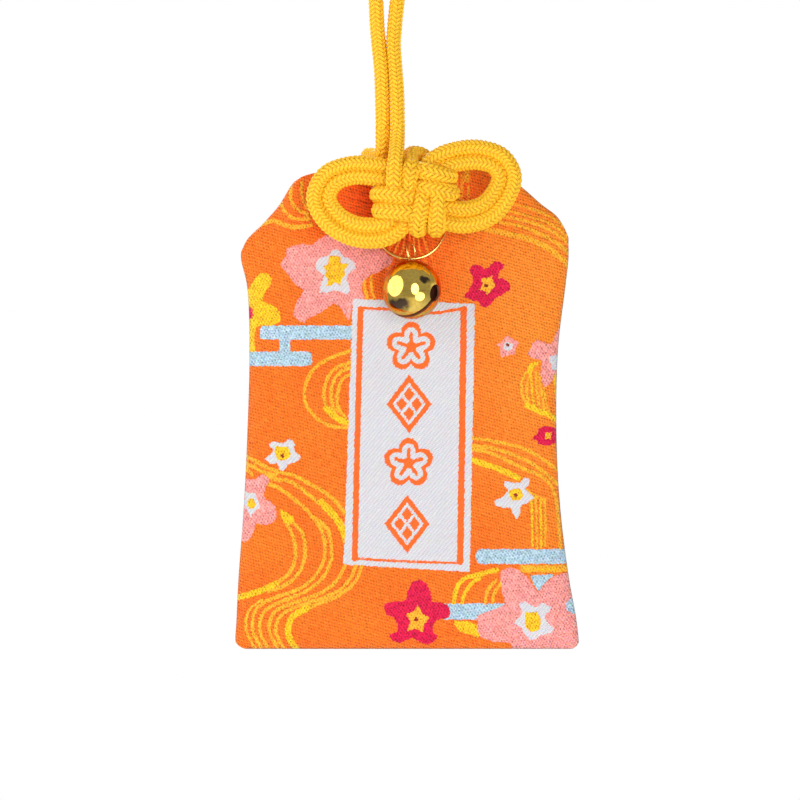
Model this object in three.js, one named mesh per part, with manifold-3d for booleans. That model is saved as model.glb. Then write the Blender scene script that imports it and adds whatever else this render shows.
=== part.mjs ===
// An omamori charm: a flat brocade pouch tied at its mouth with a doubled kano knot,
// a hanging loop of braided cord, and a small brass bell on a jump ring.
// Millimetres, +Z up, the pouch faces -Y, origin inside the top of the hanging loop.

import * as THREE from "three";
import { mergeVertices } from "three/addons/utils/BufferGeometryUtils.js";
import Module from "manifold-3d";

const wasm = await Module();
wasm.setup();

// Pouch
const pouchWidth = 47.8;
const pouchHeight = 68.4;
const shoulderDrop = 10.8;
const cornerDrop = 3.6;
const shoulderHeight = pouchHeight - shoulderDrop;
const cornerHeight = pouchHeight - cornerDrop;
const pouchThickness = 3.85;
const seamThickness = 1.4;
const clothThickness = 0.5;
const bottomRoll = 6;
const foldDepth = 0.3;
const foldReach = 11;
const neckX = 0.6;
const neckDrop = 6.4;
const neckHeight = pouchHeight - neckDrop;

// Gaps that neighbours keep
const runningGap = 0.3;
const layerGap = 0.2;
const cutOverrun = 2;

// Backing cloth, card and folded paper inside the pouch
const liningThickness = 0.2;
const liningDrop = 5.5;
const liningTop = neckHeight - liningDrop;
const cardThickness = 0.8;
const cardWidth = 35;
const cardBottom = 4;
const cardDrop = 2;
const cardTop = liningTop - cardDrop;
const cardCorner = 2.5;
const paperThickness = 0.5;
const paperLeaf = 0.14;
const paperWidth = 27;
const paperBottom = 7;
const paperDrop = 4.5;
const paperTop = cardTop - paperDrop;

// Cord, drawn thinner where the knot is pulled tight
const cordDiameter = 2;
const knotCordDiameter = 1.4;
const strandPitch = 1.9;
const loopTopX = -2.7;
const loopTopY = -3;
const loopTopRise = 77;

// Jump ring, hung on the cord between the knot and the pouch
const ringDiameter = 9.4;
const ringWire = 0.7;
const ringSplit = 0.35;
const ringLean = THREE.MathUtils.degToRad(14);

// Bell
const bellDiameter = 8.26;
const bellWall = 0.35;
const bellSeamGap = 0.24;
const soundHoleShare = 0.29;
const soundHoleDiameter = bellDiameter * soundHoleShare;
const soundSlit = 0.7;
const soundHoleDrop = THREE.MathUtils.degToRad(22);
const bellYaw = THREE.MathUtils.degToRad(-28);
const shankWire = 0.5;
const shankLoopDiameter = 1.7;
const shankSplay = 1.3;
const shankRise = 0.09;
const shankLegGap = 0.12;
const shankSideTurn = 2;
const shankTopTurn = 0.8;
const pelletShare = 0.363;
const pelletDiameter = bellDiameter * pelletShare;

// Facets
const frontGrid = [20, 24];
const backGrid = [14, 12];
const liningGrid = [12, 12];
const knotSides = 6;
const knotStep = 1.1;
const loopSides = 8;
const loopSteps = 44;
const wireSides = 8;
const ringSteps = 32;
const bellSegments = 28;
const bellRings = 8;
const holeSides = 20;
const slotSegments = 6;
const pelletDetail = 2;
const lengthSteps = 28;

const materials = {
  brocade: { color: 0xf4701f, roughness: 0.75, metalness: 0 },
  lining: { color: 0xf3ead8, roughness: 0.9, metalness: 0 },
  card: { color: 0xcdb993, roughness: 0.95, metalness: 0 },
  paper: { color: 0xf7f3e8, roughness: 0.9, metalness: 0 },
  cord: { color: 0xf8c02c, roughness: 0.6, metalness: 0 },
  brass: { color: 0xe0b23c, roughness: 0.15, metalness: 1 },
};

function namedMesh(name, geometry, finish) {
  geometry.computeVertexNormals();
  const mesh = new THREE.Mesh(geometry, new THREE.MeshStandardMaterial(materials[finish]));
  mesh.name = name;
  return mesh;
}

// Boolean cuts
function toSolid(geometry) {
  const bare = geometry.clone();
  bare.deleteAttribute("normal");
  bare.deleteAttribute("uv");
  const merged = mergeVertices(bare);
  const vertProperties = merged.attributes.position.array;
  const triVerts = new Uint32Array(merged.index.array);
  return new wasm.Manifold(new wasm.Mesh({ numProp: 3, vertProperties, triVerts }));
}

function fromSolid(solid) {
  const { vertProperties, triVerts } = solid.getMesh();
  const geometry = new THREE.BufferGeometry();
  geometry.setAttribute("position", new THREE.BufferAttribute(new Float32Array(vertProperties), 3));
  geometry.setIndex(new THREE.BufferAttribute(new Uint32Array(triVerts), 1));
  return geometry.toNonIndexed();
}

// Round wire or cord along a curve, closed by flat ends
function tubeAlong(curve, diameter, sides, steps) {
  const section = new THREE.Shape();
  for (let k = 0; k < sides; k++) {
    const turn = (2 * Math.PI * k) / sides;
    const point = [(diameter / 2) * Math.cos(turn), (diameter / 2) * Math.sin(turn)];
    if (k) section.lineTo(...point);
    else section.moveTo(...point);
  }
  return new THREE.ExtrudeGeometry(section, { steps, extrudePath: curve });
}

// Pouch outline: shares of its height and width, left and right of the middle line
const sideShares = [
  [0, 0.487, 0.494],
  [0.02, 0.5, 0.5],
  [0.147, 0.492, 0.465],
  [0.288, 0.477, 0.447],
  [0.43, 0.467, 0.436],
  [0.614, 0.459, 0.441],
  [0.746, 0.467, 0.462],
  [0.804, 0.486, 0.471],
  [1, 0.478, 0.471],
];
const cornerShare = 0.715;
const crownPower = 5;
const crownRound = 0.6;
const archPower = 2;
const bottomPower = 2.5;
const mouthPower = 14;
const foldCount = 7;

function halfWidthAt(height, side) {
  const share = height / pouchHeight;
  const column = side < 0 ? 1 : 2;
  const next = Math.max(1, sideShares.findIndex((row) => row[0] >= share));
  const [from, to] = [sideShares[next - 1], sideShares[next]];
  const along = (share - from[0]) / (to[0] - from[0]);
  return pouchWidth * THREE.MathUtils.lerp(from[column], to[column], along);
}

// The mouth arches up between two folded corners
function topHeightAt(side) {
  const across = Math.abs(side);
  if (across > cornerShare) {
    const along = (across - cornerShare) / (1 - cornerShare);
    return THREE.MathUtils.lerp(cornerHeight, shoulderHeight, along);
  }
  const arch = 1 - (across / cornerShare) ** archPower;
  return THREE.MathUtils.lerp(cornerHeight, pouchHeight, arch);
}

function frontDepthAt(side, height) {
  const crown = (1 - Math.abs(side) ** crownPower) ** crownRound;
  const bottom = 1 - (1 - Math.min(height / bottomRoll, 1)) ** bottomPower;
  const mouth = 1 - (height / topHeightAt(side)) ** mouthPower;
  const puff = (pouchThickness - seamThickness) * crown * bottom * Math.max(mouth, 0);
  const x = side * halfWidthAt(height, side) - neckX;
  const z = height - neckHeight;
  const near = Math.exp(-((Math.hypot(x, z) / foldReach) ** 2)) * (1 - Math.exp(-((x / strandPitch) ** 2)));
  const ripple = 0.5 - 0.5 * Math.cos(foldCount * Math.atan2(x, z));
  return seamThickness + puff - foldDepth * near * ripple * crown * Math.max(mouth, 0);
}

// A sheet of cloth between two depth functions, over part of the pouch outline
function clothSheet([columns, rows], widthShare, bottom, top, outerDepth, innerDepth) {
  const positions = [];
  const indices = [];
  const grid = (columns + 1) * (rows + 1);
  for (const depth of [outerDepth, innerDepth]) {
    for (let row = 0; row <= rows; row++) {
      // Rows crowd towards both ends, where the cloth turns
      const rise = 0.5 - 0.5 * Math.cos((Math.PI * row) / rows);
      for (let column = 0; column <= columns; column++) {
        const side = widthShare * Math.sin(Math.PI * (column / columns - 0.5));
        const height = bottom + rise * (Math.min(topHeightAt(side), top) - bottom);
        positions.push(side * halfWidthAt(height, side), -depth(side, height), height);
      }
    }
  }
  const at = (layer, row, column) => layer * grid + row * (columns + 1) + column;
  const quad = (a, b, c, d) => indices.push(a, b, c, a, c, d);
  for (let row = 0; row < rows; row++) {
    for (let column = 0; column < columns; column++) {
      quad(at(0, row, column), at(0, row, column + 1), at(0, row + 1, column + 1), at(0, row + 1, column));
      quad(at(1, row, column), at(1, row + 1, column), at(1, row + 1, column + 1), at(1, row, column + 1));
    }
    quad(at(0, row, 0), at(0, row + 1, 0), at(1, row + 1, 0), at(1, row, 0));
    const last = columns;
    quad(at(0, row, last), at(1, row, last), at(1, row + 1, last), at(0, row + 1, last));
  }
  for (let column = 0; column < columns; column++) {
    quad(at(0, 0, column), at(1, 0, column), at(1, 0, column + 1), at(0, 0, column + 1));
    const last = rows;
    quad(at(0, last, column), at(0, last, column + 1), at(1, last, column + 1), at(1, last, column));
  }
  const geometry = new THREE.BufferGeometry();
  geometry.setAttribute("position", new THREE.Float32BufferAttribute(positions, 3));
  geometry.setIndex(indices);
  return geometry.toNonIndexed();
}

// The cord passes the mouth through one slot in both faces of the pouch
function cutNeckSlot(geometry) {
  const halfHeight = knotCordDiameter / 2 + runningGap;
  const halfRun = strandPitch / 2;
  const slot = new THREE.Shape();
  slot.absarc(halfRun, 0, halfHeight, -Math.PI / 2, Math.PI / 2);
  slot.absarc(-halfRun, 0, halfHeight, Math.PI / 2, (3 * Math.PI) / 2);
  const depth = pouchThickness + 2 * cutOverrun;
  const cutter = new THREE.ExtrudeGeometry(slot, { depth, bevelEnabled: false, curveSegments: slotSegments });
  cutter.rotateX(Math.PI / 2);
  cutter.translate(neckX, cutOverrun, neckHeight);
  return fromSolid(toSolid(geometry).subtract(toSolid(cutter)));
}

function pouchFront() {
  const inner = (side, height) => frontDepthAt(side, height) - clothThickness;
  return cutNeckSlot(clothSheet(frontGrid, 1, 0, pouchHeight, frontDepthAt, inner));
}

function pouchBack() {
  return cutNeckSlot(clothSheet(backGrid, 1, 0, pouchHeight, () => clothThickness, () => 0));
}

const liningShare = 0.93;
const liningBottom = 2;
const liningBackDepth = clothThickness + layerGap;

function liningFront() {
  const outer = (side, height) => frontDepthAt(side, height) - clothThickness - layerGap;
  const inner = (side, height) => outer(side, height) - liningThickness;
  return clothSheet(liningGrid, liningShare, liningBottom, liningTop, outer, inner);
}

function liningBack() {
  const outer = () => liningBackDepth + liningThickness;
  return clothSheet(liningGrid, liningShare, liningBottom, liningTop, outer, () => liningBackDepth);
}

// Card that keeps the pouch flat, with its upper corners cut off
const cardDepth = liningBackDepth + liningThickness + layerGap;

function stiffeningCard() {
  const outline = new THREE.Shape();
  const half = cardWidth / 2;
  outline.moveTo(-half, cardBottom);
  outline.lineTo(half, cardBottom);
  outline.lineTo(half, cardTop - cardCorner);
  outline.lineTo(half - cardCorner, cardTop);
  outline.lineTo(cardCorner - half, cardTop);
  outline.lineTo(-half, cardTop - cardCorner);
  outline.closePath();
  const card = new THREE.ExtrudeGeometry(outline, { depth: cardThickness, bevelEnabled: false });
  card.rotateX(Math.PI / 2);
  card.translate(0, -cardDepth, 0);
  return card;
}

// One strip of blank paper folded in three, seen end on as a flat spiral
const paperDepth = cardDepth + cardThickness + layerGap;

function foldedPaper() {
  const half = paperWidth / 2;
  const slit = (paperThickness - 3 * paperLeaf) / 2;
  const strip = new THREE.Shape();
  strip.moveTo(-half, 0);
  strip.lineTo(half, 0);
  strip.lineTo(half, 2 * paperLeaf + slit);
  strip.lineTo(paperLeaf - half, 2 * paperLeaf + slit);
  strip.lineTo(paperLeaf - half, 2 * paperLeaf + 2 * slit);
  strip.lineTo(half, 2 * paperLeaf + 2 * slit);
  strip.lineTo(half, paperThickness);
  strip.lineTo(-half, paperThickness);
  strip.lineTo(-half, paperLeaf + slit);
  strip.lineTo(half - paperLeaf, paperLeaf + slit);
  strip.lineTo(half - paperLeaf, paperLeaf);
  strip.lineTo(-half, paperLeaf);
  strip.closePath();
  const paper = new THREE.ExtrudeGeometry(strip, { depth: paperTop - paperBottom, bevelEnabled: false });
  paper.rotateX(Math.PI);
  paper.translate(0, -paperDepth, paperTop);
  return paper;
}

// Knot route: depth layers, then points [x, y, height over the neck, side angle in degrees, spread]
// down the middle of the doubled cord. The side angle points from the middle to the second strand, and a spread
// over 1 sets the two strands wider apart.
const front = -11.6;
const middle = -8.65;
const between = (front + middle) / 2;
const back = -6.74;
const knotRoute = [
  [-1.16, front, 5.3, 0],
  [-1.16, front, 3.2, 0],
  [-1.16, between, 1.85, 0],
  [-1.16, middle, 0.5, 0],
  [-1.18, middle, -1.2, -3],
  [-1.5, middle, -2.9, -30, 1.05],
  [-3.5, middle, -4.4, -76, 1.08],
  [-7.2, -8.4, -4, -94, 1.15],
  [-10.4, -7.9, -2.2, -134, 1.15],
  [-11.8, -7.6, 1.2, -180, 1.15],
  [-10.5, -7.8, 4.1, -228, 1.15],
  [-7.4, -8.2, 5.4, -268, 1.15],
  [-4.4, -8.6, 5.2, -276, 1.08],
  [-2.5, middle, 4.6, -278, 1.05],
  [-1.16, middle, 4.28, -270],
  [0.0, middle, 4.28, -270],
  [1.26, between, 4.28, -270],
  [2.5, front, 4.28, -270],
  [4.4, front, 4.28, -270],
  [6.1, -10.7, 4.1, -270],
  [6.6, -9.1, 4, -270],
  [6.1, -7.4, 4, -270],
  [4.6, back, 4, -270],
  [1.5, back, 4, -268],
  [-0.7, back, 3.6, -252, 1.05],
  [-2.2, back, 2.5, -230, 1.05],
  [-3.3, back, 1, -218, 1.08],
  [-4.15, -7.6, -0.3, -250, 1.08],
  [-4.3, -9.2, -0.58, -270],
  [-3.7, -10.8, -0.58, -270],
  [-2.2, front, -0.58, -270],
  [0.0, front, -0.58, -270],
  [1.26, between, -0.58, -270],
  [2.5, middle, -0.58, -270],
  [3.8, middle, -0.58, -270],
  [5.6, middle, -0.8, -276, 1.05],
  [8.1, -8.5, -1.6, -268, 1.15],
  [11.2, -8.0, -0.7, -240, 1.15],
  [13.6, -7.7, 2, -205, 1.15],
  [14.1, -7.6, 4.6, -175, 1.15],
  [12.6, -7.7, 7.1, -135, 1.15],
  [9.6, -8.0, 8.3, -98, 1.15],
  [7.0, -8.4, 8.3, -80],
  [5.1, middle, 7.8, -52, 1.08],
  [3.85, middle, 6.2, -14, 1.05],
  [3.68, middle, 4.4, 0],
  [3.68, middle, 3.1, 0],
  [3.68, between, 1.85, 0],
  [3.68, front, 0.6, 0],
  [3.68, front, -1.4, 0],
  [3.68, -10.7, -3.2, 0],
  [3.68, -9.1, -3.8, 0],
  [3.5, -7.5, -3.3, 5],
  [2.95, -6.65, -2.1, 26, 1.05],
  [1.6, -5.9, -0.75, 38, 1.1],
  [neckX, -4.5, 0, 12, 1.05],
  [neckX, -3.0, 0, 0],
  [neckX, -0.4, 0, 0],
];
// From the first leg into the knot, from strand one over the mouth to strand two, and out to the second leg
const firstLegRoute = [
  [-3.3, -6.1, 11],
  [-3.2, -6.3, 9.6],
  [-2.7, -7.0, 8.4],
  [-2.15, -8.8, 7.6],
  [-2.11, -10.6, 6.8],
];
const mouthRoute = [
  [-0.35, 0.8, 0.1],
  [-0.15, 1.45, 1.3],
  [1.2, 1.4, 3.8],
  [2.4, 1.3, 6],
  [2.7, 0.0, 7.6],
  [2.3, -2.6, 7.8],
  [1.2, -5.6, 7.6],
  [0.2, -8.6, 7.5],
  [-0.21, -10.6, 6.7],
];
const secondLegRoute = [
  [1.55, 1.0, 0],
  [2.1, 2.8, 0.8],
  [1.3, 3.6, 2.6],
  [-0.6, 3.3, 4.9],
  [-1.6, 1.6, 7],
  [-1.6, -0.9, 7.9],
  [-1.5, -3.6, 8.4],
  [-1.4, -5.0, 9.6],
  [-1.4, -5.4, 11],
];

function strand(direction) {
  return knotRoute.map(([x, y, z, angle, spread = 1]) => {
    const turn = THREE.MathUtils.degToRad(angle);
    const shift = (direction * spread * strandPitch) / 2;
    return [x + shift * Math.cos(turn), y, z + shift * Math.sin(turn)];
  });
}

function curveThrough(points) {
  const vectors = points.map((point) => new THREE.Vector3(...point));
  return new THREE.CatmullRomCurve3(vectors, false, "centripetal");
}

// Least distance between two places of the tube that are not neighbours along it
function leastGap(curve, diameter, step) {
  const count = Math.round(curve.getLength() / step);
  const points = curve.getSpacedPoints(count);
  const apart = Math.ceil((Math.PI * diameter) / step);
  let least = Infinity;
  for (let i = 0; i < points.length; i++) {
    for (let j = i + apart; j < points.length; j++) {
      least = Math.min(least, points[i].distanceTo(points[j]));
    }
  }
  return least - diameter;
}

function knotCord() {
  const route = [...firstLegRoute, ...strand(-1), ...mouthRoute, ...strand(1), ...secondLegRoute];
  const curve = curveThrough(route);
  curve.arcLengthDivisions = route.length * lengthSteps;
  const length = curve.getLength();
  const gap = leastGap(curve, knotCordDiameter, strandPitch / knotSides);
  console.log(`knot cord ${length.toFixed(0)} mm, least gap to itself ${gap.toFixed(2)} mm`);
  const cord = tubeAlong(curve, knotCordDiameter, knotSides, Math.round(length / knotStep));
  cord.translate(0, 0, neckHeight);
  return cord;
}

// Hanging loop, from the second leg up and round to the first
const loopRoute = [
  [-1.4, -5.5, 11.3],
  [-1.25, -5.3, 20],
  [-1.1, -4.9, 29],
  [0.6, -4.3, 42],
  [4.0, -3.6, 56],
  [5.2, -3.2, 66],
  [2.4, -3.0, 74.4],
  [loopTopX, loopTopY, loopTopRise],
  [-7.8, -3.0, 74.4],
  [-10.6, -3.2, 66],
  [-9.4, -3.6, 56],
  [-6.0, -4.3, 42],
  [-4.3, -4.9, 29],
  [-3.6, -5.5, 20],
  [-3.3, -6.1, 11.3],
];

function hangLoop() {
  const loop = tubeAlong(curveThrough(loopRoute), cordDiameter, loopSides, loopSteps);
  loop.translate(0, 0, neckHeight);
  return loop;
}

// Jump ring in its own frame: hung point at the origin, ring below it in the XZ plane
const ringRadius = (ringDiameter - ringWire) / 2;
const ringHang = neckHeight + knotCordDiameter / 2 + runningGap + ringWire / 2;
const neckFaceY = -frontDepthAt(neckX / halfWidthAt(neckHeight, 1), neckHeight);

class ArcCurve extends THREE.Curve {
  constructor(radius, from, to) {
    super();
    Object.assign(this, { radius, from, to });
  }

  getPoint(share, target = new THREE.Vector3()) {
    const turn = THREE.MathUtils.lerp(this.from, this.to, share);
    return target.set(this.radius * Math.sin(turn), 0, this.radius * Math.cos(turn));
  }
}

function jumpRing() {
  const halfSplit = ringSplit / 2 / ringRadius;
  const splitAt = Math.PI / 2;
  const arc = new ArcCurve(ringRadius, splitAt + halfSplit, splitAt + 2 * Math.PI - halfSplit);
  const ring = tubeAlong(arc, ringWire, wireSides, ringSteps);
  ring.translate(0, 0, -ringRadius);
  return ring;
}

// Bell in its own frame: centre at the origin, shank up, sound slit along X
const bellRadius = bellDiameter / 2;
const bellInner = bellRadius - bellWall;
const shankHang = bellRadius + shankLoopDiameter / 2 + shankRise;
const shankHole = 2 * shankWire + 2 * runningGap;

function halfShell(turn) {
  const rim = bellSeamGap / 2;
  const profile = [];
  for (const [radius, from, to] of [[bellRadius, 0, 1], [bellInner, 1, 0]]) {
    const rimAngle = Math.asin(rim / radius);
    for (let k = 0; k <= bellRings; k++) {
      const along = THREE.MathUtils.lerp(from, to, k / bellRings);
      const angle = THREE.MathUtils.lerp(rimAngle, Math.PI / 2, along);
      const reach = along === 1 ? 0 : radius * Math.cos(angle);
      profile.push(new THREE.Vector2(reach, radius * Math.sin(angle)));
    }
  }
  profile.push(profile[0].clone());
  const shell = new THREE.LatheGeometry(profile, bellSegments);
  shell.rotateX(turn);
  return shell;
}

function bellCrown() {
  const drill = new THREE.CylinderGeometry(shankHole / 2, shankHole / 2, bellDiameter, holeSides);
  drill.rotateX(Math.PI / 2);
  drill.translate(0, 0, bellRadius);
  return fromSolid(toSolid(halfShell(Math.PI / 2)).subtract(toSolid(drill)));
}

function bellBowl() {
  let bowl = toSolid(halfShell(-Math.PI / 2));
  const slit = new THREE.BoxGeometry(bellDiameter * Math.cos(soundHoleDrop), soundSlit, bellDiameter);
  slit.translate(0, 0, -bellRadius - bellRadius * Math.sin(soundHoleDrop));
  bowl = bowl.subtract(toSolid(slit));
  for (const end of [-1, 1]) {
    const drill = new THREE.CylinderGeometry(soundHoleDiameter / 2, soundHoleDiameter / 2, bellRadius, holeSides);
    drill.rotateZ(Math.PI / 2);
    drill.translate(bellRadius, 0, 0);
    drill.rotateY(end > 0 ? soundHoleDrop : Math.PI - soundHoleDrop);
    bowl = bowl.subtract(toSolid(drill));
  }
  return fromSolid(bowl);
}

// Shank: one wire looped above the crown, its legs through the hole and splayed inside
function bellShank() {
  const loopRadius = shankLoopDiameter / 2;
  const legX = (shankWire + shankLegGap) / 2;
  const right = [
    [shankSplay, bellInner - runningGap - 2 * shankWire],
    [legX + shankWire / 2, bellInner - runningGap - shankWire],
    [legX, bellRadius - bellWall / 2],
    [legX, bellRadius + shankWire / 2],
    [loopRadius * Math.sin(shankSideTurn), shankHang + loopRadius * Math.cos(shankSideTurn)],
    [loopRadius, shankHang],
    [loopRadius * Math.sin(shankTopTurn), shankHang + loopRadius * Math.cos(shankTopTurn)],
  ];
  const left = right.map(([x, z]) => [-x, z]).reverse();
  const points = [...right, [0, shankHang + loopRadius], ...left];
  const curve = curveThrough(points.map(([x, z]) => [0, x, z]));
  return tubeAlong(curve, shankWire, wireSides, ringSteps);
}

function bellPellet() {
  return new THREE.IcosahedronGeometry(pelletDiameter / 2, pelletDetail);
}

// Assembly
const charm = new THREE.Group();
charm.add(
  namedMesh("pouch_front", pouchFront(), "brocade"),
  namedMesh("pouch_back", pouchBack(), "brocade"),
  namedMesh("lining_front", liningFront(), "lining"),
  namedMesh("lining_back", liningBack(), "lining"),
  namedMesh("stiffening_card", stiffeningCard(), "card"),
  namedMesh("folded_paper", foldedPaper(), "paper"),
  namedMesh("knot_cord", knotCord(), "cord"),
  namedMesh("hang_loop", hangLoop(), "cord"),
);

const ringPlace = new THREE.Group();
ringPlace.position.set(neckX, neckFaceY - runningGap - ringWire / 2, ringHang);
ringPlace.rotation.x = -ringLean;
ringPlace.add(namedMesh("jump_ring", jumpRing(), "brass"));
charm.add(ringPlace);

// The bell hangs on the lowest part of the ring and leans on the pouch
const ringFootY = ringPlace.position.y - 2 * ringRadius * Math.sin(ringLean);
const ringFootZ = ringPlace.position.z - 2 * ringRadius * Math.cos(ringLean);
const bellCentreY = -(pouchThickness + runningGap + bellRadius);
const bellLean = Math.asin((ringFootY - bellCentreY) / shankHang);
const bellPlace = new THREE.Group();
bellPlace.position.set(neckX, bellCentreY, ringFootZ - shankHang * Math.cos(bellLean));
bellPlace.rotation.x = -bellLean;
const bellTurn = new THREE.Group();
bellTurn.rotation.z = bellYaw;
bellTurn.add(
  namedMesh("bell_crown", bellCrown(), "brass"),
  namedMesh("bell_bowl", bellBowl(), "brass"),
  namedMesh("bell_shank", bellShank(), "brass"),
);
bellPlace.add(bellTurn);
charm.add(bellPlace);

const pelletSeat = bellInner - runningGap - pelletDiameter / 2;
const pelletPlace = new THREE.Group();
pelletPlace.position.copy(bellPlace.position);
pelletPlace.position.z -= pelletSeat;
pelletPlace.add(namedMesh("bell_pellet", bellPellet(), "brass"));
charm.add(pelletPlace);

charm.position.set(-loopTopX, -loopTopY, cordDiameter / 2 - loopTopRise - neckHeight);
const omamori = new THREE.Group();
omamori.add(charm);

export default omamori;
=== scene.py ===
"""An omamori charm: a brocade pouch, a doubled kano knot of braided cord, a hanging loop and a bell."""
import math

import bmesh
import bpy
import numpy as np
from mathutils import Matrix, Vector


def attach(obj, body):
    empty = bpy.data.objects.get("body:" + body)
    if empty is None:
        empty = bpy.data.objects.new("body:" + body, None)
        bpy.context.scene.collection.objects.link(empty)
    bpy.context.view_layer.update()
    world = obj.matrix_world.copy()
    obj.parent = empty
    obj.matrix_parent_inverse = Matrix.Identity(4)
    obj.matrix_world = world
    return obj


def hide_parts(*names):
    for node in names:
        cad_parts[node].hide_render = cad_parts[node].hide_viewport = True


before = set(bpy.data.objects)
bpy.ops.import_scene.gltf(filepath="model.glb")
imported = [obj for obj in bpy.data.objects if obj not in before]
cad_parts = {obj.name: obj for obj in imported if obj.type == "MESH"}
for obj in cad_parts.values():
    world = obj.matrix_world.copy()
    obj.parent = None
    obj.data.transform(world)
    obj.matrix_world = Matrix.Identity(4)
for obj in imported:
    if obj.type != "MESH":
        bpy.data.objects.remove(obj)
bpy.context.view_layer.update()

# Sizes in millimetres, measured from the middle of the pouch's bottom edge at its back
MM = 0.001
CHARM_PLACE = (2.7, 3.0, -138.0)
THREAD = 0.14
POUCH_WIDTH = 47.8
POUCH_HEIGHT = 68.4
PUFF = 2.45
PERSPECTIVE = 1.004
EDGE_DEPTH = 0.7
EDGE_ROLL = 1.1
CLOTH = 0.45
FLAT_DEPTH = 1.4
FRONT_INSIDE_LEAST = 0.73
BACK_INSIDE_MOST = 0.67
NECK_X = 0.6
NECK_HEIGHT = 62.0
CORD_HALF = 1.1
KNOT_SWELL = 0.06
BRAID_LENGTH = 4.8
RING_LEAN = 14.0
BELL_CENTRE = (0.6, -8.28, 50.3877)
BELL_LEAN = 26.916
BELL_YAW = -28.0
BELL_RADIUS = 4.13
BELL_WALL = 0.35
HOLE_DROP = math.radians(22)


def place(points):
    """Points in millimetres on the charm, as metres in the frame."""
    return (np.asarray(points, dtype=float) + CHARM_PLACE) * MM


def dye(red, green, blue):
    """A colour from 0 to 255 as the linear colour a shader takes."""
    shares = [value / 255 for value in (red, green, blue)]
    linear = [s / 12.92 if s <= 0.04045 else ((s + 0.055) / 1.055) ** 2.4 for s in shares]
    return (*linear, 1.0)


def smooth_line(points, step):
    """A centripetal curve through the points, as places a step apart."""
    given = np.asarray(points, dtype=float)
    ends = np.vstack([2 * given[0] - given[1], given, 2 * given[-1] - given[-2]])
    pieces = []
    for k in range(1, len(ends) - 2):
        p0, p1, p2, p3 = ends[k - 1 : k + 3]
        knots = [0.0]
        for a, b in ((p0, p1), (p1, p2), (p2, p3)):
            knots.append(knots[-1] + max(np.linalg.norm(b - a), 1e-6) ** 0.5)
        t0, t1, t2, t3 = knots
        t = np.linspace(t1, t2, 24, endpoint=False)[:, None]
        a1 = (t1 - t) / (t1 - t0) * p0 + (t - t0) / (t1 - t0) * p1
        a2 = (t2 - t) / (t2 - t1) * p1 + (t - t1) / (t2 - t1) * p2
        a3 = (t3 - t) / (t3 - t2) * p2 + (t - t2) / (t3 - t2) * p3
        b1 = (t2 - t) / (t2 - t0) * a1 + (t - t0) / (t2 - t0) * a2
        b2 = (t3 - t) / (t3 - t1) * a2 + (t - t1) / (t3 - t1) * a3
        pieces.append((t2 - t) / (t2 - t1) * b1 + (t - t1) / (t2 - t1) * b2)
    dense = np.vstack([*pieces, given[-1:]])
    run = np.concatenate([[0], np.cumsum(np.linalg.norm(np.diff(dense, axis=0), axis=1))])
    count = max(2, round(run[-1] / step) + 1)
    at = np.linspace(0, run[-1], count)
    return np.stack([np.interp(at, run, dense[:, axis]) for axis in range(dense.shape[1])], axis=1)


def new_object(name, data):
    made = bpy.data.objects.new(name, data)
    bpy.context.scene.collection.objects.link(made)
    return made


def from_bmesh(name, mesh):
    """An object from a mesh that was built up face by face."""
    data = bpy.data.meshes.new(name)
    mesh.to_mesh(data)
    mesh.free()
    return new_object(name, data)


def dress(mesh, *materials):
    """Gives a mesh these materials and no others."""
    mesh.materials.clear()
    for material in materials:
        mesh.materials.append(material)


def store(mesh, label, values):
    """Keeps one number for each point of a mesh."""
    layer = mesh.attributes.new(label, "FLOAT", "POINT")
    layer.data.foreach_set("value", np.asarray(values, dtype=np.float32))


def applied(made):
    """The same object with its modifiers worked into a plain mesh."""
    graph = bpy.context.evaluated_depsgraph_get()
    mesh = bpy.data.meshes.new_from_object(made.evaluated_get(graph))
    made.modifiers.clear()
    if made.type == "MESH":
        made.data = mesh
        return made
    name = made.name
    bpy.data.objects.remove(made)
    return new_object(name, mesh)


# Camera
CAMERA_PLACE = (0.0017, -0.7008, -0.103)
CAMERA_LENS = 225
camera_data = bpy.data.cameras.new("camera")
camera_data.lens = CAMERA_LENS
camera_data.sensor_width = 36
camera_data.clip_end = 20
camera = new_object("camera", camera_data)
camera.location = CAMERA_PLACE
camera.rotation_euler = (math.radians(90), 0, 0)
bpy.context.scene.camera = camera

# Node helpers
FLOAT = "NodeSocketFloat"


def feed(tree, socket, value):
    """Gives an input another node's socket or a plain value."""
    if isinstance(value, bpy.types.NodeSocket):
        tree.links.new(value, socket)
    elif value is not None:
        socket.default_value = value


def step(tree, kind, *inputs, **settings):
    """One node with its settings and its inputs in order, either values or sockets."""
    made = tree.nodes.new(kind)
    for name, value in settings.items():
        setattr(made, name, value)
    for socket, value in zip(made.inputs, inputs):
        feed(tree, socket, value)
    return made


def sums(tree, operation, *inputs):
    return step(tree, "ShaderNodeMath", *inputs, operation=operation).outputs[0]


def product(tree, *factors):
    """All the factors multiplied, from the first to the last."""
    result = factors[0]
    for factor in factors[1:]:
        result = sums(tree, "MULTIPLY", result, factor)
    return result


def vectors(tree, operation, *inputs):
    return step(tree, "ShaderNodeVectorMath", *inputs, operation=operation).outputs[0]


def scaled(tree, vector, factor):
    made = step(tree, "ShaderNodeVectorMath", vector, operation="SCALE")
    feed(tree, made.inputs["Scale"], factor)
    return made.outputs[0]


def split(tree, vector):
    return step(tree, "ShaderNodeSeparateXYZ", vector).outputs


def combined(tree, x, y, z):
    return step(tree, "ShaderNodeCombineXYZ", x, y, z).outputs[0]


def colours(tree, factor, first, second, blend="MIX"):
    made = step(tree, "ShaderNodeMix", data_type="RGBA", blend_type=blend, clamp_factor=True)
    for number, value in ((0, factor), (6, first), (7, second)):
        feed(tree, made.inputs[number], value)
    return made.outputs[2]


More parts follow.
